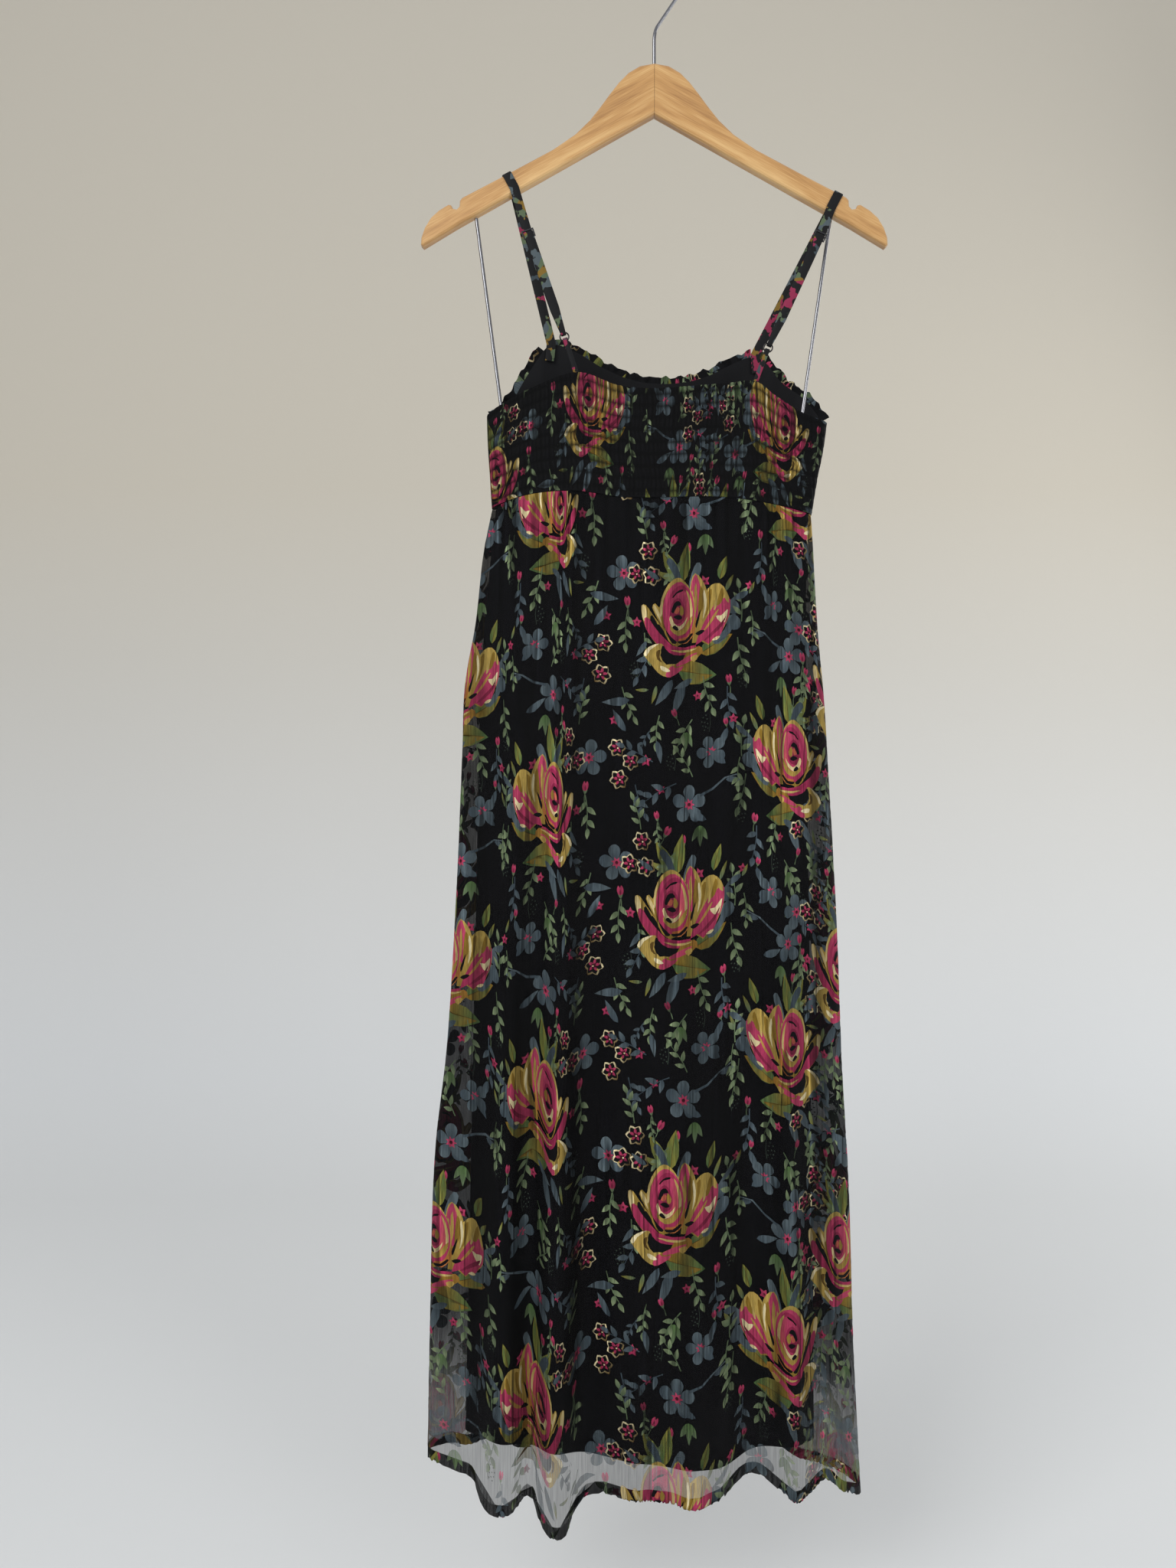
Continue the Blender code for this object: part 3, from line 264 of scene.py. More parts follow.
def half_ring(left, right, depth):
    """Plan of half a flattened ring from the left seam to the right one. A negative depth is the back."""
    angle = np.linspace(0.0, math.pi, RING_SAMPLES)
    across = np.cos(angle)
    power = 2 / RING_FULLNESS
    x = (left + right) / 2 - (right - left) / 2 * np.sign(across) * np.abs(across) ** power
    y = depth * np.abs(np.sin(angle)) ** power
    return x, y


def with_folds(x, y, folds, share, side, amount=1.0):
    """The half ring with its long folds. side is -1 for the back and 1 for the front."""
    middle = (x[0] + x[-1]) / 2
    reach = (x[-1] - x[0]) / 2
    near_seam = 1 - np.abs((x - middle) / reach) ** FOLD_SEAM_FADE
    moved_x = x.copy()
    moved_y = y.copy()
    for fold in folds:
        centre = fold.top_x + (fold.hem_x - fold.top_x) * share
        width = fold.top_width + (fold.hem_width - fold.top_width) * share
        grown = rise((share - fold.start) / (1 - fold.start)) * near_seam * amount
        along = (x - centre) / width
        ridge = np.exp(-along * along) * grown
        moved_y += side * fold.height * ridge
        moved_x += fold.spread * along * ridge
    return moved_x, moved_y


def run_length(x, y):
    """Distance along a plan curve from its first point to each point."""
    return np.concatenate([[0.0], np.cumsum(np.hypot(np.diff(x), np.diff(y)))])


def bodice_ring(z, side):
    """Half of the bodice's ring at one height, with the cups on the front."""
    left = float(through(BODICE_RINGS, "z", "left", z))
    right = float(through(BODICE_RINGS, "z", "right", z))
    if side < 0:
        return half_ring(left, right, -float(through(BODICE_RINGS, "z", "back", z)))
    x, y = half_ring(left, right, float(through(BODICE_RINGS, "z", "front", z)))
    near_seam = np.sin(np.linspace(0.0, math.pi, RING_SAMPLES)) ** 2
    for cup in CUPS:
        roundness = np.exp(-(((x - cup.x) / cup.width) ** 2) - ((z - cup.z) / cup.height) ** 2)
        y = y + cup.fullness * roundness * near_seam
    return x, y


def bodice_y(x, z, side):
    """Where the bodice's ring stands in depth at one place."""
    ring_x, ring_y = bodice_ring(z, side)
    return float(np.interp(x, ring_x, ring_y))


def read_grid(grid, row, column):
    """Reads a grid of rows and columns between its points."""
    row = np.clip(row, 0.0, grid.shape[0] - 1.000001)
    column = np.clip(column, 0.0, grid.shape[1] - 1.000001)
    low_row = row.astype(int)
    low_column = column.astype(int)
    down = (row - low_row)[:, None]
    across = (column - low_column)[:, None]
    top = grid[low_row, low_column] * (1 - across) + grid[low_row, low_column + 1] * across
    low = grid[low_row + 1, low_column] * (1 - across) + grid[low_row + 1, low_column + 1] * across
    return top * (1 - down) + low * down


# The print, charted in millimetres around the heart of one rose, x to the right and y up
def srgb(red, green, blue):
    """A colour in the renderer's linear light from its 0 to 255 values."""
    parts = []
    for value in (red, green, blue):
        share = value / 255
        parts.append(share / 12.92 if share <= 0.04045 else ((share + 0.055) / 1.055) ** 2.4)
    return tuple(parts)


INKS = {
    "ground": srgb(4, 4, 6),
    "black": srgb(5, 4, 6),
    "mustard": srgb(116, 90, 30),
    "gold": srgb(152, 128, 64),
    "umber": srgb(76, 56, 20),
    "cream": srgb(204, 190, 150),
    "magenta": srgb(132, 34, 66),
    "rose": srgb(156, 54, 82),
    "coral": srgb(158, 86, 48),
    "maroon": srgb(76, 20, 34),
    "leaf": srgb(66, 88, 50),
    "olive": srgb(106, 102, 44),
    "sage": srgb(80, 94, 68),
    "pale_sage": srgb(112, 124, 92),
    "slate": srgb(72, 82, 86),
    "dark_slate": srgb(54, 64, 70),
    "bud": srgb(152, 52, 78),
    "dot": srgb(44, 52, 44),
}
Paint = namedtuple("Paint", "loop first second start end")
ROSE = listed(
    "first second loop",
    ("slate", "dark_slate", ((-3, 40), (-8, 56), (-16, 65), (-20, 61), (-13, 50), (-8, 40))),
    ("dark_slate", "slate", ((4, 36), (8, 50), (14, 60), (19, 57), (16, 46), (10, 35))),
    ("slate", "dark_slate", ((30, -16), (41, -6), (49, 10), (53, 7), (47, -8), (36, -19))),
    ("dark_slate", "slate", ((-38, -6), (-34, 5), (-28, 3), (-29, -8))),
    ("mustard", "gold", ((8, -16), (17, -14), (26, -19), (30, -14), (36, -12), (41, -3), (46, 8),
        (47, 20), (44, 31), (37, 39), (29, 38), (22, 30), (17, 18), (12, 4))),
    ("magenta", "rose", ((12, -18), (20, -14), (26, -18), (31, -13), (37, -11), (41, -2), (46, 9),
        (47, 24), (41, 25), (32, 19), (25, 9), (18, -3))),
    ("umber", "mustard", ((19, 8), (24, 10), (28, 22), (29, 34), (25, 31), (20, 20))),
    ("cream", "gold", ((40, 30), (44, 30), (46, 21), (43, 23))),
    ("cream", "gold", ((31, 14), (33, 24), (37, 30), (36, 23), (33, 15))),
    ("gold", "cream", ((33, 8), (37, 2), (42, 2), (45, 14), (42, 12), (38, 8))),
    ("coral", "gold", ((18, -8), (24, -3), (31, 5), (36, 14), (33, 12), (27, 4), (21, -4))),
    ("magenta", "maroon", ((20, -15), (30, -10), (39, -2), (43, 8), (38, 1), (30, -6))),
    ("umber", "mustard", ((34, 18), (38, 20), (41, 29), (39, 35), (36, 28))),
    ("cream", "gold", ((29, -15), (33, -12), (37, -12), (34, -15))),
    ("black", "black", ((12, -7), (18, -4), (22, -5), (16, -9))),
    ("mustard", "gold", ((2, -12), (10, -8), (19, 2), (24, 14), (25, 30), (20, 43), (12, 50), (7, 42),
        (5, 28), (3, 10))),
    ("magenta", "rose", ((4, 4), (11, 4), (17, 14), (19, 29), (14, 48), (8, 42), (6, 24))),
    ("umber", "mustard", ((15, 10), (20, 16), (21, 30), (18, 38), (16, 28))),
    ("black", "black", ((5, 13), (7.5, 15), (8, 32), (5.5, 33))),
    ("coral", "gold", ((12, 12), (14, 20), (14, 32), (12.4, 44), (11, 34), (11.4, 22))),
    ("gold", "cream", ((20, 6), (23, 14), (24, 24), (22, 34), (20.6, 30), (21.6, 18))),
    ("cream", "gold", ((8, 16), (9.5, 18), (9.5, 32), (8.4, 32))),
    ("cream", "rose", ((9, 38), (12, 49), (14, 46), (11.5, 37))),
    ("mustard", "gold", ((-8, -27), (-24, -22), (-37, -8), (-44, 8), (-45, 20), (-40, 20), (-34, 12),
        (-26, 2), (-16, -10))),
    ("umber", "mustard", ((-12, -24), (-26, -18), (-38, -3), (-41, 7), (-33, 0), (-24, -10), (-14, -19))),
    ("cream", "gold", ((-44, 9), (-45, 20), (-41, 19), (-39, 10), (-41, 4))),
    ("rose", "coral", ((-12, -24), (-22, -17), (-31, -5), (-29, -4), (-20, -12), (-12, -18))),
    ("magenta", "rose", ((-13, -23), (-27, -19), (-40, -3), (-42, 8), (-36, 7), (-26, -6), (-15, -15))),
    ("black", "black", ((-36, 6), (-27, -6), (-15, -17), (-18, -12), (-28, 1), (-34, 11))),
    ("mustard", "gold", ((-8, -22), (-18, -10), (-28, 6), (-34, 18), (-31, 22), (-27, 18), (-24, 25),
        (-20, 27), (-16, 8), (-10, -8))),
    ("cream", "gold", ((-33, 18), (-26, 5), (-17, -9), (-13, -15), (-15, -9), (-24, 8), (-31, 20))),
    ("black", "black", ((-31, 0), (-24, -9), (-14, -18), (-11, -18), (-20, -8), (-27, 2))),
    ("gold", "mustard", ((-43, -26), (-37, -19), (-27, -16), (-23, -18), (-26, -27), (-20, -36),
        (-10, -34), (-2, -36), (-6, -42), (-18, -48), (-28, -44), (-35, -36))),
    ("rose", "coral", ((-16, -38), (-8, -36), (0, -33), (-4, -41), (-16, -48), (-21, -46))),
    ("cream", "gold", ((-43, -26), (-37, -19), (-27, -16), (-36, -22), (-40, -28))),
    ("cream", "gold", ((-26, -37), (-20, -39), (-16, -42), (-20, -43), (-25, -41))),
    ("umber", "mustard", ((-30, -24), (-26, -22), (-27, -29), (-24, -34), (-29, -31))),
    ("black", "black", ((-24, -18), (-14, -22), (-2, -25), (12, -24), (8, -31), (-4, -35), (-18, -35),
        (-25, -28))),
    ("magenta", "rose", ((-24, -10), (-14, -18), (0, -20), (12, -18), (12, -24), (0, -27), (-12, -27),
        (-21, -21))),
    ("mustard", "coral", ((2, -24), (16, -19), (20, -25), (8, -33), (-8, -39), (-13, -37), (-2, -31))),
    ("rose", "coral", ((4, -28), (14, -25), (8, -32), (-8, -38), (-10, -36), (-2, -31))),
    ("gold", "coral", ((6, -30), (12, -27), (15, -29), (10, -34))),
    ("magenta", "maroon", ((-22, -13), (-12, -20), (2, -23), (12, -20), (2, -24.5), (-12, -24),
        (-20, -17))),
    ("mustard", "gold", ((-13, -18), (-21, -8), (-26, 8), (-25, 26), (-18, 40), (-9, 46), (-2, 44),
        (4, 38), (11, 26), (12, 10), (7, -6), (-2, -16))),
    ("umber", "mustard", ((-22, -4), (-25, 10), (-23, 25), (-17, 37), (-20, 24), (-21, 8))),
    ("black", "black", ((-14, -16), (-20, -6), (-23, 6), (-20, 2), (-16, -8), (-9, -15))),
    ("magenta", "rose", ((-10, -14), (-20, -4), (-23.5, 10), (-22, 26), (-14, 39), (-4, 42), (6, 34),
        (10.5, 21), (10, 5), (4, -9), (-4, -14))),
    ("coral", "rose", ((-4, 36), (3, 31), (7, 18), (5, 5), (-1, -4), (0, 8), (1, 20), (-2, 31))),
    ("black", "black", ((-15, 30), (-9, 35), (-1, 36), (-3, 33), (-9, 31), (-13, 27))),
    ("rose", "magenta", ((-19, 6), (-20, 18), (-16, 30), (-8, 38), (0, 38), (4, 32), (-3, 35), (-10, 32),
        (-16, 24), (-17, 12))),
    ("cream", "gold", ((8, 4), (9, 16), (6, 28), (1, 35), (4, 26), (6, 15), (6, 5))),
    ("gold", "mustard", ((-16, -3), (-8, -9), (1, -6), (7, 2), (9, 10), (4, 5), (-2, -2), (-9, -4),
        (-15, 2))),
    ("maroon", "magenta", ((-17, 10), (-14, 22), (-8, 27), (-2, 22), (0, 10), (-5, 3), (-13, 3))),
    ("black", "black", ((-15, 14), (-12, 22), (-7, 24), (-4, 20), (-9, 19), (-12, 13))),
    ("rose", "coral", ((-12, 13), (-9, 18), (-6, 17), (-8, 12))),
    ("gold", "mustard", ((-6, 12), (-5, 20), (-1, 15), (-3, 10))),
    ("black", "black", ((-13, 9), (-7, 11), (-3, 8), (-7, 6))),
    ("cream", "gold", ((-17, 7), (-14, -1), (-7, -4), (0, 1), (3, 9), (0, 5), (-6, 0), (-12, 3),
        (-15, 10))),
    ("black", "black", ((-14, -1), (-10, -4), (-7, -3), (-11, 1))),
    ("coral", "mustard", ((-7, -12), (2, -10), (9, -1), (12, 9), (13, 3), (10, -8), (2, -16), (-6, -16))),
    ("black", "black", ((-8, -14), (0, -13), (7, -7), (9, -8), (2, -15), (-6, -16.5))),
    ("cream", "gold", ((-26, 10), (-25, 26), (-18, 39.5), (-10, 45), (-17, 37.5), (-23, 25), (-24, 12))),
    ("black", "black", ((13, -2), (16, 6), (18, 16), (15, 10), (12, 2))),
    ("gold", "cream", ((-16, -22), (-6, -25), (6, -24), (14, -21), (6, -22), (-6, -23))),
)
ROSE_START_Y = -40.0
ROSE_END_Y = 42.0
ARRANGEMENT = listed(
    "kind x y turn size",
    ("slate_leaf", -9, 44, 32, 24), ("olive_leaf", -5, 42, 36, 36), ("olive_leaf", -2, 42, -4, 38),
    ("narrow_leaf", -10, 42, 66, 24), ("narrow_leaf", -10, 46, 78, 20), ("green_leaf", 17, -26, -66, 36),
    ("broad_leaf", -8, -42, -96, 42), ("olive_leaf", 37, 43, -12, 24), ("narrow_leaf", 43, 32, -18, 18),
    ("star", 22, 42, 20, 6), ("slate_flower", -64, 50, 12, 17), ("blossom", -38, 72, 0, 8.5),
    ("blossom", -51, 50, 20, 8.5), ("blossom", -34, 48, 40, 8.5), ("slate_leaf", -27, 45, 62, 18),
    ("bud", -60, 18, 4, 11), ("spray", -60, 16, 176, 34), ("star", -50, 4, 0, 5.5),
    ("spray", -42, -6, 190, 26), ("slate_leaf", -40, -14, 150, 18), ("dots", -52, -42, 0, 8),
    ("narrow_leaf", -38, -60, 96, 14), ("slate_leaf", -14, -50, 152, 30),
    ("slate_leaf", -2, -52, 166, 34), ("slate_leaf", 8, -50, 120, 22), ("spray", 20, -48, 196, 34),
    ("spray", -27, -84, 172, 28), ("bud", -10, -86, 24, 9), ("narrow_leaf", -30, -56, 170, 18),
    ("dots", -14, -128, 0, 8), ("slate_flower", 28, -120, 20, 15), ("slate_flower", 4, -168, 0, 18),
    ("slate_stem", 16, -160, -62, 40), ("bud", -22, -198, -30, 11), ("bud", -2, -206, 6, 10),
    ("hanging_leaves", 16, -188, 180, 20), ("star", -41, -127, 0, 6), ("star", -26, -154, 20, 5),
    ("blossom", -71, -116, 0, 8), ("blossom", -57, -128, 30, 8), ("blossom", -69, -146, 10, 8.5),
    ("slate_spray", -52, -150, 200, 30), ("bud", 46, -58, 6, 10), ("slate_spray", 44, -60, 186, 34),
    ("bud", 43, -98, 10, 8), ("slate_leaf", 44, -100, 160, 22), ("slate_petal", 49, 17, 0, 7),
    ("slate_petal", 50, 2, 0, 7.5), ("spray", 58, 4, 4, 34), ("spray", 54, -12, 192, 36),
    ("dots", 60, -52, 0, 8), ("spray", 56, -128, 176, 28), ("narrow_leaf", 58, -112, 30, 14),
    ("star", 66, 40, 0, 5), ("slate_leaf", 64, 34, 130, 20), ("bud", -22, 92, 12, 9),
    ("spray", -22, 90, 186, 20), ("slate_spray", -36, -98, 150, 20), ("slate_spray", -30, -20, 146, 36),
    ("spray", -66, -58, 204, 32), ("slate_leaf", -58, -70, 104, 28), ("star", -74, -90, 0, 5),
    ("hanging_leaves", 2, -100, 172, 19), ("spray", 8, -88, 146, 32), ("slate_spray", -34, -128, 66, 34),
    ("dots", 24, -92, 0, 9), ("slate_leaf", 42, -134, 52, 24), ("spray", 8, -142, 34, 30),
    ("slate_spray", -10, -148, 118, 38), ("spray", -46, -192, 16, 30), ("slate_leaf", -30, -108, 198, 22),
    ("slate_leaf", -62, -100, 40, 24), ("slate_leaf", 30, 92, 70, 24), ("star", 14, -66, 10, 5),
    ("spray", -4, 62, 140, 24),
)
PRINT_REPEAT = 275.0
PRINT_LEAN = -0.026
BACK_PRINT = listed(
    "x z mirrored",
    (-195.0, -704.0, False),
    (-103.0, -546.0, True),
    (20.0, -645.0, False),
    (124.0, -776.0, True),
    (184.0, -690.0, False),
)
FRONT_PRINT = listed(
    "x z mirrored",
    (-196.0, -610.0, True),
    (-84.0, -700.0, False),
    (28.0, -600.0, True),
    (136.0, -742.0, False),
    (230.0, -640.0, True),
)
LOOP_STEPS = 2


def smooth_loop(loop, steps=LOOP_STEPS):
    """A closed curve through charted points."""
    points = np.array(loop, float)
    before = np.roll(points, 1, axis=0)
    after = np.roll(points, -1, axis=0)
    beyond = np.roll(points, -2, axis=0)
    made = []
    for index in range(len(points)):
        for step in range(steps):
            t = step / steps
            made.append(
                0.5
                * (
                    2 * points[index]
                    + (after[index] - before[index]) * t
                    + (2 * before[index] - 5 * points[index] + 4 * after[index] - beyond[index]) * t**2
                    + (3 * points[index] - before[index] - 3 * after[index] + beyond[index]) * t**3
                )
            )
    return np.array(made)


def round_loop(x, y, radius, lobes=0, depth=0.0, count=12, turn=0.0):
    """A circle, or one with lobes."""
    angle = np.arange(count) * 2 * math.pi / count + math.radians(turn)
    reach = radius * (1 + depth * np.cos(lobes * (angle - math.radians(turn))))
    return np.stack([x + reach * np.cos(angle), y + reach * np.sin(angle)], axis=1)


def leaf_loop(length, width, bend=0.0):
    """A leaf that points up from its foot at the origin."""
    rows = ((0.0, 0.0), (0.14, 0.34), (0.36, 0.5), (0.62, 0.42), (0.84, 0.2), (1.0, 0.0))
    right = [(share_width * width, share * length) for share, share_width in rows]
    left = [(-share_width * width, share * length) for share, share_width in reversed(rows[1:-1])]
    loop = np.array(right + left)
    loop[:, 0] += bend * (loop[:, 1] / length) ** 2
    return loop


def line_loop(points, width):
    """A tapered stroke along a few points."""
    points = np.array(points, float)
    tangents = np.gradient(points, axis=0)
    tangents /= np.linalg.norm(tangents, axis=1)[:, None]
    square = np.stack([-tangents[:, 1], tangents[:, 0]], axis=1)
    half = np.linspace(1.0, 0.45, len(points))[:, None] * width / 2
    return np.concatenate([points + square * half, (points - square * half)[::-1]])


def leaf_paints(length, width, first, second, rib="umber", bend=0.0):
    """A leaf of two colours with a rib."""
    paints = [Paint(leaf_loop(length, width, bend), first, second, (0, 0), (0, length))]
    if rib:
        half = leaf_loop(length, width, bend)
        half = half[half[:, 0] >= bend * (half[:, 1] / length) ** 2 - 0.01] * (0.9, 0.92)
        middle = [(bend * 0.2, length * 0.45), (bend * 0.02, length * 0.12)]
        paints.append(Paint(np.concatenate([half, middle]), second, first, (0, 0), (width / 2, length)))
        line = [(bend * s * s, length * s) for s in (0.06, 0.3, 0.6, 0.86)]
        paints.append(Paint(line_loop(line, 0.7), rib, rib, (0, 0), (0, 1)))
    return paints


def turned(paints, turn, x=0.0, y=0.0, size=1.0):
    """Paints turned by degrees, to the left for a positive turn, scaled and moved."""
    angle = math.radians(turn)
    turn_x = np.array([math.cos(angle), math.sin(angle)]) * size
    turn_y = np.array([-math.sin(angle), math.cos(angle)]) * size
    moved_paints = []
    for paint in paints:
        loop = paint.loop[:, :1] * turn_x + paint.loop[:, 1:] * turn_y + (x, y)
        start = paint.start[0] * turn_x + paint.start[1] * turn_y + (x, y)
        end = paint.end[0] * turn_x + paint.end[1] * turn_y + (x, y)
        moved_paints.append(Paint(loop, paint.first, paint.second, start, end))
    return moved_paints


def rose_paints():
    """The large rose."""
    return [
        Paint(smooth_loop(petal.loop), petal.first, petal.second, (-12, ROSE_START_Y), (8, ROSE_END_Y))
        for petal in ROSE
    ]


def spray_paints(length, leaf_first, leaf_second, stem):
    """A curved stem with leaves on alternate sides, pointing up."""
    stalk = line_loop([(0, 0), (1.2, length * 0.3), (1.0, length * 0.6), (-0.6, length)], 1.1)
    paints = [Paint(stalk, stem, stem, (0, 0), (0, 1))]
    leaves = ((0.2, 48, 0.34), (0.36, -44, 0.36), (0.56, 40, 0.34), (0.72, -36, 0.32), (0.94, 8, 0.3))
    for share, lean, reach in leaves:
        place = (1.2 * math.sin(share * 3), length * share)
        leaf = leaf_paints(length * reach, length * 0.15, leaf_first, leaf_second, None)
        paints += turned(leaf, lean, *place)
    return paints


def blossom_paints(radius):
    """A small blossom with a thin scalloped rim around a dark and pink heart."""
    r = radius
    return [
        Paint(round_loop(0, 0, r, 6, 0.16, 24), "cream", "umber", (-r, r), (r, -r)),
        Paint(round_loop(0, 0, r * 0.84, 6, 0.2, 24, 6), "black", "black", (0, r), (0, -r)),
        Paint(round_loop(0, r * 0.05, r * 0.5, 5, 0.5, 20, 20), "rose", "magenta", (0, r), (0, -r)),
        Paint(round_loop(0, 0, r * 0.3, 4, 0.5, 12, 30), "maroon", "black", (0, r), (0, -r)),
        Paint(round_loop(r * 0.1, -r * 0.06, r * 0.1, 0, 0, 5), "cream", "cream", (0, 0), (0, 1)),
        Paint(round_loop(-r * 0.5, -r * 0.4, r * 0.12, 0, 0, 5), "gold", "gold", (0, 0), (0, 1)),
    ]


def slate_flower_paints(radius):
    """A flower of five round slate petals with a bright spiked heart."""
    paints = []
    for petal in range(5):
        turn = petal * 72
        loop = smooth_loop(
            (
                (0, radius * 0.1),
                (radius * 0.24, radius * 0.34),
                (radius * 0.36, radius * 0.72),
                (radius * 0.16, radius * 1.0),
                (-radius * 0.16, radius * 0.98),
                (-radius * 0.36, radius * 0.68),
                (-radius * 0.22, radius * 0.32),
            )
        )
        shade = ("slate", "dark_slate") if petal % 2 else ("dark_slate", "slate")
        paints += turned([Paint(loop, *shade, (0, 0), (0, radius))], turn)
    spikes = []
    for spike in range(14):
        reach = radius * (0.34 if spike % 2 == 0 else 0.18)
        angle = math.pi * spike / 7
        spikes.append((reach * math.cos(angle), reach * math.sin(angle)))
    paints.append(Paint(np.array(spikes), "bud", "rose", (0, -radius * 0.3), (0, radius * 0.3)))
    paints.append(Paint(round_loop(0, 0, radius * 0.1, 0, 0, 8), "maroon", "black", (0, 0), (0, 1)))
    return paints


def bud_paints(height):
    """A pink bud with its calyx and a short stem. Its foot is the origin."""
    h = height
    return [
        Paint(
            line_loop([(0, -h * 0.9), (h * 0.06, -h * 0.4), (0, 0)], h * 0.09),
            "sage", "sage", (0, 0), (0, 1),
        ),
        Paint(
            smooth_loop((
                (0, 0), (h * 0.26, h * 0.3), (h * 0.3, h * 0.7), (h * 0.12, h), (0, h * 0.74),
                (-h * 0.14, h * 0.96), (-h * 0.3, h * 0.66), (-h * 0.22, h * 0.26),
            )),
            "magenta", "rose", (0, 0), (0, h),
        ),
        Paint(
            smooth_loop(((0, h * 0.2), (h * 0.1, h * 0.44), (0, h * 0.66), (-h * 0.08, h * 0.42))),
            "maroon", "magenta", (0, 0), (0, h),
        ),
        Paint(
            smooth_loop((
                (0, -h * 0.12), (h * 0.15, h * 0.04), (h * 0.2, h * 0.26), (0, h * 0.12),
                (-h * 0.2, h * 0.24), (-h * 0.14, h * 0.02),
            )),
            "sage", "pale_sage", (0, 0), (0, h),
        ),
    ]


def star_paints(radius):
    """A small open flower with five points."""
    points = []
    for step in range(10):
        reach = radius * (1.0 if step % 2 == 0 else 0.52)
        angle = math.pi * step / 5 + 0.3
        points.append((reach * math.cos(angle), reach * math.sin(angle)))
    return [
        Paint(np.array(points), "rose", "magenta", (0, radius), (0, -radius)),
        Paint(round_loop(0, 0, radius * 0.24, 0, 0, 6), "maroon", "maroon", (0, 0), (0, 1)),
    ]


def dots_paints(height):
    """A loose oval of tiny dots on a thin stem."""
    stalk = line_loop([(2, -height), (3.4, 0), (2.4, height * 1.1)], 0.7)
    paints = [Paint(stalk, "dot", "dot", (0, 0), (0, 1))]
    dots = (
        (0, 7), (-3, 5), (1, 3.4), (-4.5, 1), (-1.4, 0.4),
        (1.6, -1), (-3.4, -3), (-0.4, -4), (2, -5.4), (-1.8, -7),
    )
    for x, y in dots:
        paints.append(Paint(round_loop(x - 1, y, 0.8, 0, 0, 5), "dot", "sage", (0, 0), (20, 0)))
    return paints


def item_paints(item):
    """The paints of one item of the arrangement."""
    kind = item.kind
    size = item.size
    if kind == "slate_leaf":
        made = leaf_paints(size, size * 0.3, "dark_slate", "slate", None, size * 0.12)
    elif kind == "olive_leaf":
        made = leaf_paints(size, size * 0.36, "leaf", "olive", "umber", size * 0.08)
    elif kind == "narrow_leaf":
        made = leaf_paints(size, size * 0.24, "sage", "olive", None, size * 0.1)
    elif kind == "green_leaf":
        made = leaf_paints(size, size * 0.46, "leaf", "mustard", "umber", -size * 0.06)
    elif kind == "broad_leaf":
        made = leaf_paints(size, size * 0.54, "mustard", "leaf", "umber", size * 0.05)
    elif kind == "spray":
        made = spray_paints(size, "sage", "pale_sage", "sage")
    elif kind == "slate_spray":
        made = spray_paints(size, "dark_slate", "slate", "dark_slate")
    elif kind == "slate_stem":
        stalk = line_loop([(0, 0), (2, size * 0.35), (1, size * 0.7), (4, size)], 2.6)
        made = [Paint(stalk, "dark_slate", "slate", (0, 0), (0, size))]
        made += turned(leaf_paints(size * 0.4, size * 0.14, "dark_slate", "slate", None), -30, 3, size * 0.7)
    elif kind == "hanging_leaves":
        made = []
        for lean, reach in ((30, 0.8), (0, 1.0), (-32, 0.85)):
            made += turned(leaf_paints(size * reach, size * 0.3, "leaf", "sage", None), lean)
    elif kind == "blossom":
        made = blossom_paints(size)
    elif kind == "slate_flower":
        made = slate_flower_paints(size)
    elif kind == "slate_petal":
        made = [Paint(round_loop(0, 0, size, 0, 0, 12), "dark_slate", "slate", (0, -size), (0, size))]
    elif kind == "bud":
        made = bud_paints(size)
    elif kind == "star":
        made = star_paints(size)
    else:
        made = dots_paints(size)
    return turned(made, item.turn, item.x, item.y)


def charted_repeat():
    """Everything around one rose. Small things come first, so that the rose lies over them."""
    behind = []
    for item in ARRANGEMENT:
        behind += item_paints(item)
    return behind, rose_paints()


PRINT_LAYERS = charted_repeat()


def print_layout(columns, u_of_x, top_z, left, right, low, high):
    """Paints over a panel, in cloth coordinates: u across and drop down from the panel's top at top_z."""
    placed = []
    for layer in PRINT_LAYERS:
        for column in columns:
            u = float(u_of_x(column.x))
            first = column.z
            while first < top_z + PRINT_REPEAT:
                first += PRINT_REPEAT
            drop = top_z - first
            while drop < high + PRINT_REPEAT:
                centre = (u + PRINT_LEAN * drop, drop)
                turn = (-1.0 if column.mirrored else 1.0, -1.0)
                for paint in layer:
                    loop = paint.loop * turn + centre
                    inside_u = loop[:, 0].max() > left and loop[:, 0].min() < right
                    inside_d = loop[:, 1].max() > low and loop[:, 1].min() < high
                    if inside_u and inside_d:
                        start = np.asarray(paint.start) * turn + centre
                        end = np.asarray(paint.end) * turn + centre
                        placed.append(Paint(loop, paint.first, paint.second, start, end))
                drop += PRINT_REPEAT
    return placed


# Meshes
MERGE = 1e-4
CELL_ACROSS = 22
CELL_DOWN = 16


def link_mesh(name, points, faces, material):
    """A mesh object from points in millimetres."""
    mesh = bpy.data.meshes.new(name)
    mesh.from_pydata((np.asarray(points) * MM).tolist(), [], [tuple(face) for face in faces])
    mesh.shade_smooth()
    mesh.materials.append(material)
    made = bpy.data.objects.new(name, mesh)
    bpy.context.scene.collection.objects.link(made)
    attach(made, "root")
    return made


def mark_cloth(mesh, cloth):
    """Keeps each point's place on the flat cloth, in metres, for the materials."""
    layer = mesh.attributes.new("cloth", "FLOAT_VECTOR", "POINT")
    flat = np.zeros((len(cloth), 3))
    flat[:, :2] = np.asarray(cloth) * MM
    layer.data.foreach_set("vector", flat.ravel())


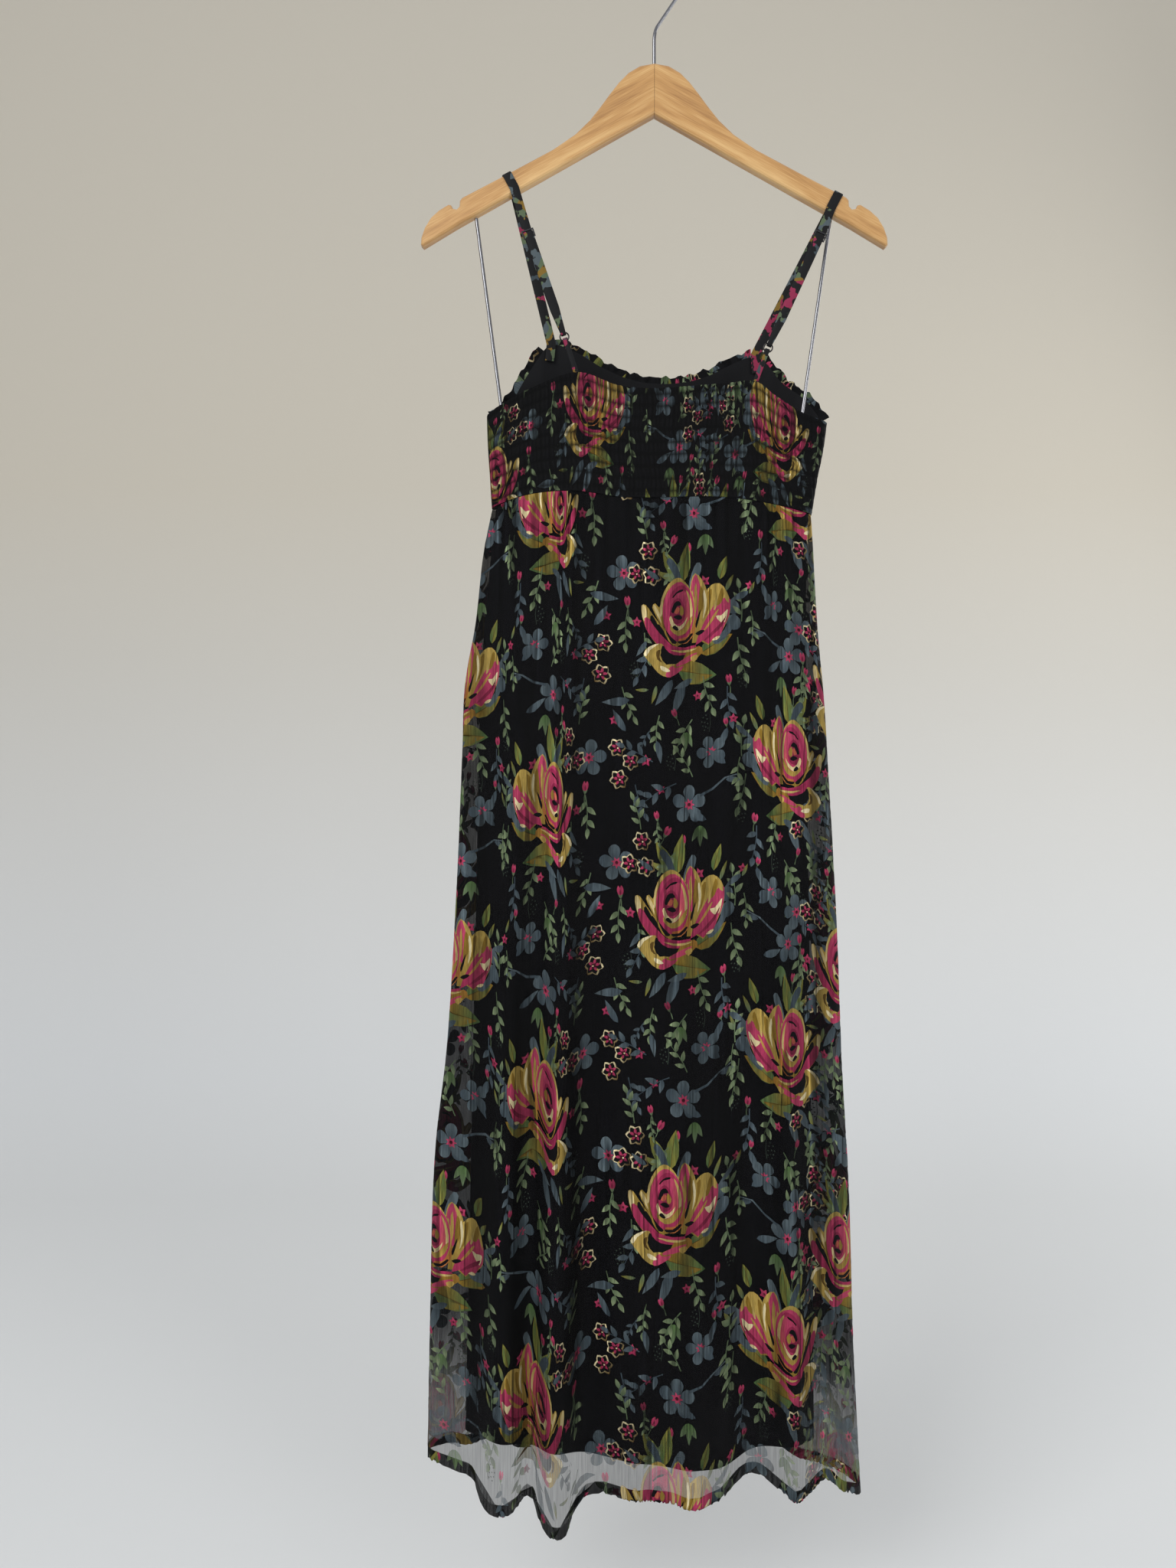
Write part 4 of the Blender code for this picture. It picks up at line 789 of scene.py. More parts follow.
def one_way(loop):
    """A loop that turns from the first axis to the second one."""
    points = np.asarray(loop, float)
    ahead = np.roll(points, -1, axis=0)
    doubled_area = (points[:, 0] * ahead[:, 1] - ahead[:, 0] * points[:, 1]).sum()
    return points if doubled_area > 0 else points[::-1]


def cell_faces(outline, cell, grid, loops, numbers):
    """Triangles of one cell of a panel, each with the number of the paint on top, or -1 for bare cloth."""
    low_u, high_u, low_d, high_d = cell
    coordinates = [tuple(point) for point in outline]
    coordinates += [(low_u, low_d), (high_u, low_d), (high_u, high_d), (low_u, high_d)]
    count = len(outline)
    faces_in = [list(range(count)), [count, count + 1, count + 2, count + 3]]
    for number in numbers:
        start = len(coordinates)
        coordinates += loops[number]
        faces_in.append(list(range(start, len(coordinates))))
    coordinates += grid
    points, _, faces, _, _, origins = delaunay_2d_cdt(coordinates, [], faces_in, 0, MERGE, True)
    kept = []
    tops = []
    for face, origin in zip(faces, origins):
        if 0 in origin and 1 in origin:
            kept.append(face)
            top = max(origin)
            tops.append(numbers[top - 2] if top > 1 else -1)
    return [(point[0], point[1]) for point in points], kept, tops


def printed_cloth(name, outline, across, down, place, paints, material, outward, shade=None, fine_until=-1.0):
    """Cloth cut to an outline in cloth coordinates, divided along the print and placed in space."""
    edge_u = [point[0] for point in outline]
    edge_d = [point[1] for point in outline]
    borders_u = [min(edge_u) - 1] + list(across[CELL_ACROSS:-3:CELL_ACROSS]) + [max(edge_u) + 1]
    borders_d = [min(edge_d) - 1] + list(down[CELL_DOWN:-3:CELL_DOWN]) + [max(edge_d) + 1]
    outline = one_way(outline).tolist()
    loops = [[tuple(point) for point in one_way(paint.loop).tolist()] for paint in paints]
    boxes = np.array([(*paint.loop.min(axis=0), *paint.loop.max(axis=0)) for paint in paints])
    spots = []
    faces = []
    tops = []
    for low_u, high_u in zip(borders_u[:-1], borders_u[1:]):
        near_u = (boxes[:, 0] < high_u) & (boxes[:, 2] > low_u)
        cell_across = [u for u in across if low_u <= u <= high_u]
        for low_d, high_d in zip(borders_d[:-1], borders_d[1:]):
            numbers = np.nonzero(near_u & (boxes[:, 1] < high_d) & (boxes[:, 3] > low_d))[0].tolist()
            cell_down = [d for d in down if low_d <= d <= high_d]
            grid = [(float(u), float(d)) for d in cell_down for u in cell_across]
            grid += [
                ((before + after) / 2, float(d))
                for d in cell_down
                if d < fine_until
                for before, after in zip(cell_across[:-1], cell_across[1:])
            ]
            points, kept, cell_tops = cell_faces(
                outline, (low_u, high_u, low_d, high_d), grid, loops, numbers
            )
            start = len(spots)
            spots += points
            faces += [tuple(corner + start for corner in face) for face in kept]
            tops += cell_tops
    flat, merged = np.unique(np.round(np.array(spots), 3), axis=0, return_inverse=True)
    faces = merged.reshape(-1)[np.array(faces)]
    whole = (faces[:, 0] != faces[:, 1]) & (faces[:, 1] != faces[:, 2]) & (faces[:, 2] != faces[:, 0])
    faces = faces[whole]
    tops = np.array(tops)[whole]
    used = np.unique(faces)
    renumber = np.zeros(len(flat), int)
    renumber[used] = np.arange(len(used))
    faces = renumber[faces]
    flat = flat[used]
    placed = place(flat[:, 0], flat[:, 1])
    middle = placed[faces[:, 0]]
    normal = np.cross(placed[faces[:, 1]] - middle, placed[faces[:, 2]] - middle).sum(axis=0)
    if np.dot(normal, outward) < 0:
        faces = faces[:, ::-1]
    made = link_mesh(name, placed, faces.tolist(), material)
    mark_cloth(made.data, flat)
    firsts = np.array([INKS[paint.first] for paint in paints] + [INKS["ground"]])
    seconds = np.array([INKS[paint.second] for paint in paints] + [INKS["ground"]])
    starts = np.array([paint.start for paint in paints] + [(0.0, 0.0)], float)
    ends = np.array([paint.end for paint in paints] + [(0.0, 1.0)], float)
    spot = flat[faces]
    axis = ends[tops] - starts[tops]
    along = ((spot - starts[tops][:, None, :]) * axis[:, None, :]).sum(axis=2)
    along = along / (axis**2).sum(axis=1)[:, None]
    along = rise(along)[:, :, None]
    colours = np.ones((len(faces), 3, 4))
    colours[:, :, :3] = firsts[tops][:, None, :] * (1 - along) + seconds[tops][:, None, :] * along
    # Painted light and shade: the shade function, where one is given, darkens and lightens each corner's
    # print colour.
    if shade is not None:
        colours[:, :, :3] *= shade(flat[:, 0], flat[:, 1])[faces][:, :, None]
    layer = made.data.color_attributes.new("print", "FLOAT_COLOR", "CORNER")
    layer.data.foreach_set("color", colours.ravel())
    inked = made.data.attributes.new("inked", "FLOAT", "FACE")
    inked.data.foreach_set("value", np.where(tops < 0, 0.0, 1.0))
    return made


def grid_cloth(name, grid, material, cloth):
    """A regular sheet from rows of points."""
    rows, columns = grid.shape[:2]
    index = np.arange(rows * columns).reshape(rows, columns)
    faces = np.stack([index[:-1, :-1], index[1:, :-1], index[1:, 1:], index[:-1, 1:]], axis=-1).reshape(-1, 4)
    made = link_mesh(name, grid.reshape(-1, 3), faces.tolist(), material)
    mark_cloth(made.data, cloth.reshape(-1, 2))
    return made


def waver(at, pitch, seed):
    """A smooth uneven wave between about -1 and 1."""
    a = at / pitch * 2 * math.pi
    return (
        np.sin(a + seed)
        + 0.6 * np.sin(a * 0.618 + seed * 2.3 + 0.9 * np.sin(a * 0.173 + seed))
        + 0.45 * np.sin(a * 1.73 + seed * 1.7)
    ) / 1.6


# Materials
def new_material(name):
    """A material with its nodes, and helpers to add and join them."""
    made = bpy.data.materials.new(name)
    made.use_nodes = True
    nodes = made.node_tree.nodes
    links = made.node_tree.links
    return made, nodes, links, nodes["Principled BSDF"], nodes["Material Output"]


def attribute(nodes, name):
    """A node that reads one of the cloth's own layers."""
    node = nodes.new("ShaderNodeAttribute")
    node.attribute_name = name
    return node


def stretched_noise(nodes, links, vector, scale, detail=3.0):
    """Noise stretched along one direction of the cloth."""
    mapping = nodes.new("ShaderNodeMapping")
    mapping.inputs["Scale"].default_value = scale
    links.new(vector, mapping.inputs["Vector"])
    noise = nodes.new("ShaderNodeTexNoise")
    noise.inputs["Scale"].default_value = 1.0
    noise.inputs["Detail"].default_value = detail
    links.new(mapping.outputs["Vector"], noise.inputs["Vector"])
    return noise.outputs["Fac"]


def ranged(nodes, links, value, low, high, to_low, to_high):
    """A value mapped from one range to another."""
    node = nodes.new("ShaderNodeMapRange")
    node.inputs["From Min"].default_value = low
    node.inputs["From Max"].default_value = high
    node.inputs["To Min"].default_value = to_low
    node.inputs["To Max"].default_value = to_high
    links.new(value, node.inputs["Value"])
    return node.outputs["Result"]


def joined(nodes, links, operation, first, second):
    """Two values joined by arithmetic. Either may be a plain number."""
    node = nodes.new("ShaderNodeMath")
    node.operation = operation
    for socket, value in zip(node.inputs, (first, second)):
        if isinstance(value, (int, float)):
            socket.default_value = value
        else:
            links.new(value, socket)
    return node.outputs["Value"]


def bumped(nodes, links, shader, height, distance, strength=1.0):
    """Adds relief to a shader."""
    node = nodes.new("ShaderNodeBump")
    node.inputs["Distance"].default_value = distance
    node.inputs["Strength"].default_value = strength
    links.new(height, node.inputs["Height"])
    links.new(node.outputs["Normal"], shader.inputs["Normal"])


HEM_SHEER_START = 0.8
HEM_SHEER_END = 0.88
SHEER_STACK = 0.3
HEM_BAND_START = 0.9285
HEM_BAND_COVER = 0.34


def chiffon_material(name, ground_cover, ink_cover, see_through=True):
    """Printed crinkle chiffon: fine upright ribs, thin ground, denser ink, with light and shade painted into
    the print's colour on the ribs, the broad folds and thin creases.
    """
    made, nodes, links, shader, output = new_material(name)
    cloth = attribute(nodes, "cloth").outputs["Vector"]
    colour = attribute(nodes, "print").outputs["Color"]
    inked = attribute(nodes, "inked").outputs["Fac"]
    ribs = stretched_noise(nodes, links, cloth, (620.0, 26.0, 1.0))
    threads = stretched_noise(nodes, links, cloth, (1900.0, 150.0, 1.0), 2.0)
    # Painted light and shade of the broad folds: wide upright bands that make the colour darker and lighter.
    fold_band_shade = stretched_noise(nodes, links, cloth, (85.0, 5.0, 1.0), 3.0)
    # Painted light and shade on the crinkle ribs: the colour follows the ribs' own relief noise, darker in
    # their troughs and lighter on their crests. The thread tone is the cloth's own uneven threads.
    rib_light_and_shade = ranged(nodes, links, ribs, 0.3, 0.7, 0.62, 1.2)
    thread_tone = ranged(nodes, links, threads, 0.3, 0.7, -0.18, 0.18)
    rib_shade_with_threads = joined(nodes, links, "ADD", rib_light_and_shade, thread_tone)
    tone = joined(nodes, links, "MULTIPLY", rib_shade_with_threads, ranged(nodes, links, fold_band_shade, 0.3, 0.7, 0.62, 1.25))
    # Painted shade and highlight along thin creases: a dark line with a bright line beside it, raised by half
    # so that the bright line is lighter than the print's own colour.
    fold_line = stretched_noise(nodes, links, cloth, (34.0, 1.6, 1.0), 1.0)
    crease_shade_ramp = nodes.new("ShaderNodeValToRGB")
    for position, value in ((0.47, 0.66), (0.485, 0.3), (0.5, 0.3), (0.51, 1.0), (0.535, 0.66)):
        element = crease_shade_ramp.color_ramp.elements.new(position)
        element.color = (value, value, value, 1.0)
    for element in (crease_shade_ramp.color_ramp.elements[0], crease_shade_ramp.color_ramp.elements[-1]):
        element.color = (0.66, 0.66, 0.66, 1.0)
    links.new(fold_line, crease_shade_ramp.inputs["Fac"])
    crease_shade_and_highlight = joined(nodes, links, "MULTIPLY", crease_shade_ramp.outputs["Color"], 1.5)
    tone = joined(nodes, links, "MULTIPLY", tone, crease_shade_and_highlight)
    # The print's colour times the painted light and shade and the thread tone.
    shaded_print = nodes.new("ShaderNodeMix")
    shaded_print.data_type = "RGBA"
    shaded_print.blend_type = "MULTIPLY"
    shaded_print.inputs["Factor"].default_value = 1.0
    links.new(colour, shaded_print.inputs["A"])
    grey = nodes.new("ShaderNodeCombineColor")
    for channel in ("Red", "Green", "Blue"):
        links.new(tone, grey.inputs[channel])
    links.new(grey.outputs["Color"], shaded_print.inputs["B"])
    links.new(shaded_print.outputs["Result"], shader.inputs["Base Color"])
    shader.inputs["Roughness"].default_value = 0.72
    shader.inputs["Specular IOR Level"].default_value = 0.11
    shader.inputs["Sheen Weight"].default_value = 0.012
    shader.inputs["Sheen Roughness"].default_value = 0.4
    bumped(nodes, links, shader, ribs, 0.00022, 0.5)
    if see_through:
        cover = joined(nodes, links, "MULTIPLY", inked, ink_cover - ground_cover)
        cover = joined(nodes, links, "ADD", cover, ground_cover)
        cover = joined(nodes, links, "ADD", cover, ranged(nodes, links, ribs, 0.3, 0.7, -0.08, 0.12))
        parts = nodes.new("ShaderNodeSeparateXYZ")
        links.new(cloth, parts.inputs["Vector"])
        above_hem = ranged(nodes, links, parts.outputs["Y"], HEM_SHEER_START, HEM_SHEER_END, SHEER_STACK, 0.0)
        cover = joined(nodes, links, "ADD", cover, above_hem)
        turned_hem = ranged(
            nodes, links, parts.outputs["Y"], HEM_BAND_START, HEM_BAND_START + 0.001, 0.0, HEM_BAND_COVER
        )
        cover = joined(nodes, links, "ADD", cover, turned_hem)
        cover = joined(nodes, links, "MINIMUM", cover, 1.0)
        clear = nodes.new("ShaderNodeBsdfTransparent")
        mixed = nodes.new("ShaderNodeMixShader")
        links.new(cover, mixed.inputs["Fac"])
        links.new(clear.outputs["BSDF"], mixed.inputs[1])
        links.new(shader.outputs["BSDF"], mixed.inputs[2])
        links.new(mixed.outputs["Shader"], output.inputs["Surface"])
    return made


def lining_material():
    """Plain black lining with a fine weave."""
    made, nodes, links, shader, _ = new_material("black_lining_cloth")
    cloth = attribute(nodes, "cloth").outputs["Vector"]
    weave = stretched_noise(nodes, links, cloth, (1500.0, 1500.0, 1.0), 2.0)
    cloudy = stretched_noise(nodes, links, cloth, (18.0, 9.0, 1.0), 3.0)
    shade = nodes.new("ShaderNodeValToRGB")
    shade.color_ramp.elements[0].position = 0.3
    shade.color_ramp.elements[1].position = 0.75
    shade.color_ramp.elements[0].color = (*srgb(5, 5, 7), 1.0)
    shade.color_ramp.elements[1].color = (*srgb(12, 12, 15), 1.0)
    mottled = joined(nodes, links, "ADD", weave, cloudy)
    links.new(joined(nodes, links, "MULTIPLY", mottled, 0.5), shade.inputs["Fac"])
    links.new(shade.outputs["Color"], shader.inputs["Base Color"])
    shader.inputs["Roughness"].default_value = 0.78
    shader.inputs["Specular IOR Level"].default_value = 0.22
    shader.inputs["Sheen Weight"].default_value = 0.05
    bumped(nodes, links, shader, weave, 0.0002, 0.5)
    return made


def strap_material():
    """The same print on a narrow strap: patches of colour on black."""
    made, nodes, links, shader, _ = new_material("strap_print")
    place = nodes.new("ShaderNodeTexCoord").outputs["Object"]
    patches = nodes.new("ShaderNodeTexNoise")
    patches.inputs["Scale"].default_value = 95.0
    patches.inputs["Detail"].default_value = 2.5
    links.new(place, patches.inputs["Vector"])
    hue = nodes.new("ShaderNodeTexNoise")
    hue.inputs["Scale"].default_value = 34.0
    hue.inputs["Detail"].default_value = 1.0
    links.new(place, hue.inputs["Vector"])
    ramp = nodes.new("ShaderNodeValToRGB")
    ramp.color_ramp.interpolation = "CONSTANT"
    stops = ((0.0, "slate"), (0.42, "sage"), (0.5, "mustard"), (0.56, "magenta"), (0.66, "dark_slate"))
    ramp.color_ramp.elements[0].color = (*INKS[stops[0][1]], 1.0)
    ramp.color_ramp.elements[1].position = stops[1][0]
    ramp.color_ramp.elements[1].color = (*INKS[stops[1][1]], 1.0)
    for position, ink in stops[2:]:
        element = ramp.color_ramp.elements.new(position)
        element.color = (*INKS[ink], 1.0)
    links.new(hue.outputs["Fac"], ramp.inputs["Fac"])
    chosen = nodes.new("ShaderNodeMix")
    chosen.data_type = "RGBA"
    chosen.inputs["A"].default_value = (*INKS["ground"], 1.0)
    links.new(ramp.outputs["Color"], chosen.inputs["B"])
    links.new(ranged(nodes, links, patches.outputs["Fac"], 0.53, 0.545, 0.0, 1.0), chosen.inputs["Factor"])
    links.new(chosen.outputs["Result"], shader.inputs["Base Color"])
    shader.inputs["Roughness"].default_value = 0.72
    shader.inputs["Specular IOR Level"].default_value = 0.28
    ribs = stretched_noise(nodes, links, place, (900.0, 900.0, 90.0), 2.0)
    bumped(nodes, links, shader, ribs, 0.0004, 0.6)
    return made


def wood_material():
    """Honey-coloured wood under a satin varnish, its grain along the arm."""
    made, nodes, links, shader, _ = new_material("varnished_honey_wood")
    place = nodes.new("ShaderNodeTexCoord").outputs["Object"]
    parts = nodes.new("ShaderNodeSeparateXYZ")
    links.new(place, parts.inputs["Vector"])
    reach = joined(nodes, links, "ABSOLUTE", parts.outputs["X"], 0.0)
    along = joined(
        nodes,
        links,
        "SUBTRACT",
        joined(nodes, links, "MULTIPLY", reach, 0.87),
        joined(nodes, links, "MULTIPLY", parts.outputs["Z"], 0.49),
    )
    across = joined(
        nodes,
        links,
        "ADD",
        joined(nodes, links, "MULTIPLY", reach, 0.49),
        joined(nodes, links, "MULTIPLY", parts.outputs["Z"], 0.87),
    )
    grain_place = nodes.new("ShaderNodeCombineXYZ")
    links.new(along, grain_place.inputs["X"])
    links.new(across, grain_place.inputs["Y"])
    links.new(parts.outputs["Y"], grain_place.inputs["Z"])
    vector = grain_place.outputs["Vector"]
    broad = stretched_noise(nodes, links, vector, (7.0, 90.0, 60.0), 4.0)
    fine = stretched_noise(nodes, links, vector, (40.0, 900.0, 500.0), 3.0)
    pores = stretched_noise(nodes, links, vector, (160.0, 2600.0, 1600.0), 1.0)
    broad_part = joined(nodes, links, "MULTIPLY", broad, 0.68)
    fine_part = joined(nodes, links, "MULTIPLY", fine, 0.32)
    grain = joined(nodes, links, "ADD", broad_part, fine_part)
    ramp = nodes.new("ShaderNodeValToRGB")
    ramp.color_ramp.elements[0].position = 0.34
    ramp.color_ramp.elements[0].color = (*srgb(146, 102, 54), 1.0)
    ramp.color_ramp.elements[1].position = 0.66
    ramp.color_ramp.elements[1].color = (*srgb(208, 168, 110), 1.0)
    middle = ramp.color_ramp.elements.new(0.5)
    middle.color = (*srgb(184, 138, 80), 1.0)
    links.new(grain, ramp.inputs["Fac"])
    links.new(ramp.outputs["Color"], shader.inputs["Base Color"])
    links.new(ranged(nodes, links, fine, 0.3, 0.7, 0.3, 0.46), shader.inputs["Roughness"])
    shader.inputs["Coat Weight"].default_value = 0.35
    shader.inputs["Coat Roughness"].default_value = 0.22
    bumped(nodes, links, shader, joined(nodes, links, "ADD", fine, pores), 0.00012, 0.5)
    return made


def metal_material(name, colour, low, high, scale):
    """Metal whose gloss varies a little from place to place."""
    made, nodes, links, shader, _ = new_material(name)
    place = nodes.new("ShaderNodeTexCoord").outputs["Object"]
    wear = nodes.new("ShaderNodeTexNoise")
    wear.inputs["Scale"].default_value = scale
    wear.inputs["Detail"].default_value = 4.0
    links.new(place, wear.inputs["Vector"])
    shade = nodes.new("ShaderNodeValToRGB")
    shade.color_ramp.elements[0].position = 0.35
    shade.color_ramp.elements[1].position = 0.65
    shade.color_ramp.elements[0].color = (*(0.82 * part for part in colour), 1.0)
    shade.color_ramp.elements[1].color = (*colour, 1.0)
    links.new(wear.outputs["Fac"], shade.inputs["Fac"])
    links.new(shade.outputs["Color"], shader.inputs["Base Color"])
    shader.inputs["Metallic"].default_value = 1.0
    links.new(ranged(nodes, links, wear.outputs["Fac"], 0.3, 0.7, low, high), shader.inputs["Roughness"])
    bumped(nodes, links, shader, wear.outputs["Fac"], 0.00004, 0.4)
    return made


def plastic_material():
    """Black moulded plastic with a faint grain."""
    made, nodes, links, shader, _ = new_material("slider_plastic")
    place = nodes.new("ShaderNodeTexCoord").outputs["Object"]
    grain = nodes.new("ShaderNodeTexNoise")
    grain.inputs["Scale"].default_value = 1800.0
    links.new(place, grain.inputs["Vector"])
    shade = nodes.new("ShaderNodeValToRGB")
    shade.color_ramp.elements[0].color = (*srgb(14, 14, 16), 1.0)
    shade.color_ramp.elements[1].color = (*srgb(30, 30, 33), 1.0)
    links.new(grain.outputs["Fac"], shade.inputs["Fac"])
    links.new(shade.outputs["Color"], shader.inputs["Base Color"])
    links.new(ranged(nodes, links, grain.outputs["Fac"], 0.3, 0.7, 0.28, 0.42), shader.inputs["Roughness"])
    bumped(nodes, links, shader, grain.outputs["Fac"], 0.00004, 0.4)
    return made


CHIFFON = chiffon_material("printed_crinkle_chiffon", 0.46, 0.74)
BODICE_CHIFFON = chiffon_material("printed_gathered_chiffon", 1.0, 1.0, False)
LINING = lining_material()
STRAP = strap_material()
WOOD = wood_material()
CHROME = metal_material("chromed_wire_finish", (0.22, 0.22, 0.23), 0.1, 0.2, 400.0)
DARK_METAL = metal_material("dark_ring_metal", (0.05, 0.047, 0.045), 0.25, 0.42, 900.0)
PLASTIC = plastic_material()

# Skirt panels
FORM_ROWS = 261
FORM_COLUMNS = 1201
HEM_TURN = 11.0
HEM_LAYER = 0.7
PANEL_STEP = 6.0
FINE_UNTIL = 190.0
SkirtForm = namedtuple("SkirtForm", "places normals low_u high_u arcs length")


def fold_fullness(fold):
    """How much more cloth a fold holds at the hem than the straight line across it."""
    reach = 3.2 * fold.hem_width
    x = np.linspace(-reach, reach, 400)
    along = x / fold.hem_width
    ridge = np.exp(-along * along)
    return run_length(x + fold.spread * along * ridge, fold.height * ridge)[-1] - 2 * reach


def cloth_across(x, y, folds, share):
    """Cloth coordinate across a ring: its run from x = 0, and the fullness that each fold takes up."""
    u = run_length(x, y)
    u = u - np.interp(0.0, x, u)
    for fold in folds:
        centre = fold.top_x + (fold.hem_x - fold.top_x) * share
        width = fold.top_width + (fold.hem_width - fold.top_width) * share
        step = np.tanh(1.25 * (x - centre) / width)
        u += fold_fullness(fold) / 2 * (step - np.tanh(1.25 * (0 - centre) / width))
    return u


def skirt_form(rings, folds, side, hem_edge, fold_share=1.0, waist_drop=0.0):
    """Places and plan normals over a skirt panel, by share of the drop and by share of the cloth across."""
    shares = np.linspace(0.0, 1.0, FORM_ROWS)
    fractions = np.linspace(0.0, 1.0, FORM_COLUMNS)
    length = rings[-1].drop
    places = np.zeros((FORM_ROWS, FORM_COLUMNS, 3))
    normals = np.zeros((FORM_ROWS, FORM_COLUMNS, 3))
    arcs = np.zeros((FORM_ROWS, FORM_COLUMNS, 1))
    low_u = np.zeros(FORM_ROWS)
    high_u = np.zeros(FORM_ROWS)
    for row, share in enumerate(shares):
        drop = share * length
        left = float(through(rings, "drop", "left", drop))
        right = float(through(rings, "drop", "right", drop))
        depth = side * float(through(rings, "drop", "back" if side < 0 else "front", drop))
        x, y = half_ring(left, right, depth)
        u = cloth_across(x, y, folds, share)
        folded_x, folded_y = with_folds(x, y, folds, share, side, fold_share)
        run = run_length(folded_x, folded_y)
        slope_x = np.gradient(folded_x, run)
        slope_y = np.gradient(folded_y, run)
        size = np.hypot(slope_x, slope_y)
        at = u[0] + fractions * (u[-1] - u[0])
        places[row, :, 0] = np.interp(at, u, folded_x)
        places[row, :, 1] = np.interp(at, u, folded_y) + side * HALF_GAP
        normals[row, :, 0] = np.interp(at, u, slope_y / size) * -side
        normals[row, :, 1] = np.interp(at, u, -slope_x / size) * -side
        arcs[row, :, 0] = np.interp(at, u, run)
        low_u[row] = u[0]
        high_u[row] = u[-1]
    waist_z = through(WAIST_SEAM, "x", "z", places[0, :, 0]) - WAIST_HALF_GAP - waist_drop
    hem_z = through(hem_edge, "x", "z", places[-1, :, 0])
    places[:, :, 2] = waist_z[None, :] + (hem_z - waist_z)[None, :] * shares[:, None]
    return SkirtForm(places, normals, low_u, high_u, arcs, length)


def gather_relief(run, share, plan):
    """Gathers that leave the waist seam, uneven in depth, spacing and length."""
    wave = waver(run + 1.4 * waver(run, 61.0, plan.seed), plan.pitch, plan.seed)
    reach = plan.reach * (1 + 0.55 * waver(run, 37.0, plan.seed + 2.0))
    start = rise(share / 0.004)
    return plan.height * wave * np.exp(-((share / np.maximum(reach, 0.02)) ** 1.3)) * start


def skirt_shade(form, gathers, creases, fold_edge_shades):
    """The function that paints light and shade into the print: darker in troughs, on the folds' side-facing
    flanks and along fold edges, lighter on ridges.
    """

    def shade(u, drop):
        share = np.clip(drop / form.length, 0.0, 1.0)
        tone = np.ones_like(u)
        # Painted light and shade of the gathers and creases: lighter on their ridges and darker in their
        # troughs.
        for plan in gathers:
            tone += 0.34 * gather_relief(u, share, plan)
        tone += 0.16 * crease_relief(u, drop, creases)
        row = share * (FORM_ROWS - 1)
        low = np.interp(row, np.arange(FORM_ROWS), form.low_u)
        high = np.interp(row, np.arange(FORM_ROWS), form.high_u)
        fraction = np.clip((u - low) / (high - low), 0.0, 1.0)
        # Painted shade on the folds' flanks that face sideways, deeper on those that face +X, away from the
        # key light.
        across = read_grid(form.normals, row, fraction * (FORM_COLUMNS - 1))[:, 0]
        inner = rise(fraction / 0.12) * rise((1 - fraction) / 0.12)
        tone *= 1 - inner * (0.5 * np.abs(across) ** 1.3 + 0.16 * across)
        # Painted shade lines along the fold edges.
        x = read_grid(form.places, row, fraction * (FORM_COLUMNS - 1))[:, 0]
        for edge in fold_edge_shades:
            beside = x - (edge.top_x + (edge.hem_x - edge.top_x) * share)
            reach = np.where(beside < 0, edge.left, edge.right)
            ends = rise((share - edge.start) / 0.08) * rise((edge.end - share) / 0.08)
            tone *= 1 - edge.depth * ends * np.exp(-((beside / reach) ** 2))
        return np.clip(tone, 0.2, 1.5)

    return shade


def crease_relief(u, drop, creases):
    """Soft long ridges and troughs, placed one by one."""
    total = np.zeros_like(u)
    for crease in creases:
        share = np.clip((drop - crease.start) / (crease.end - crease.start), 0.0, 1.0)
        centre = crease.u + crease.slant * share
        swell = np.sin(math.pi * share) ** 0.8
        total += crease.height * swell * np.exp(-(((u - centre) / crease.width) ** 2))
    return total


def skirt_place(form, side, gathers, creases, seed):
    """The function that puts a skirt panel's cloth coordinates in space, with its hem turned inside."""

    def place(u, drop):
        turned_up = np.clip(drop - form.length, 0.0, None)
        at_drop = np.where(drop > form.length, form.length - turned_up, drop)
        share = np.clip(at_drop / form.length, 0.0, 1.0)
        row = share * (FORM_ROWS - 1)
        rows = np.arange(FORM_ROWS)
        low = np.interp(row, rows, form.low_u)
        high = np.interp(row, rows, form.high_u)
        fraction = np.clip((u - low) / (high - low), 0.0, 1.0)
        column = fraction * (FORM_COLUMNS - 1)
        spot = read_grid(form.places, row, column)
        normal = read_grid(form.normals, row, column)
        run = read_grid(form.arcs, row, column)[:, 0]
        near_seam = rise(fraction / 0.03) * rise((1 - fraction) / 0.03)
        relief = np.zeros_like(u)
        for plan in gathers:
            relief += gather_relief(u, share, plan)
        relief += crease_relief(u, at_drop, creases)
        hem_share = rise((share - 0.82) / 0.18)
        relief += hem_share * 1.1 * waver(run, 34.0, seed)
        relief = relief * near_seam - 0.3
        relief -= HEM_LAYER * (1 - np.exp(-turned_up / 0.5))
        spot = spot + normal * relief[:, None]
        spot[:, 2] += hem_share * near_seam * 1.2 * waver(run, 47.0, seed + 1.0)
        return spot

    return place


def skirt_outline(form):
    """The cut edge of a skirt panel in cloth coordinates, with the hem's turning below."""
    drops = np.linspace(0.0, form.length, 140)
    rows = drops / form.length * (FORM_ROWS - 1)
    low = np.interp(rows, np.arange(FORM_ROWS), form.low_u)
    high = np.interp(rows, np.arange(FORM_ROWS), form.high_u)
    left = list(zip(low, drops))
    right = list(zip(high, drops))
    turn_rows = (form.length - HEM_TURN) / form.length * (FORM_ROWS - 1)
    low_turn = float(np.interp(turn_rows, np.arange(FORM_ROWS), form.low_u))
    high_turn = float(np.interp(turn_rows, np.arange(FORM_ROWS), form.high_u))
    return left + [(low_turn, form.length + HEM_TURN), (high_turn, form.length + HEM_TURN)] + right[::-1]


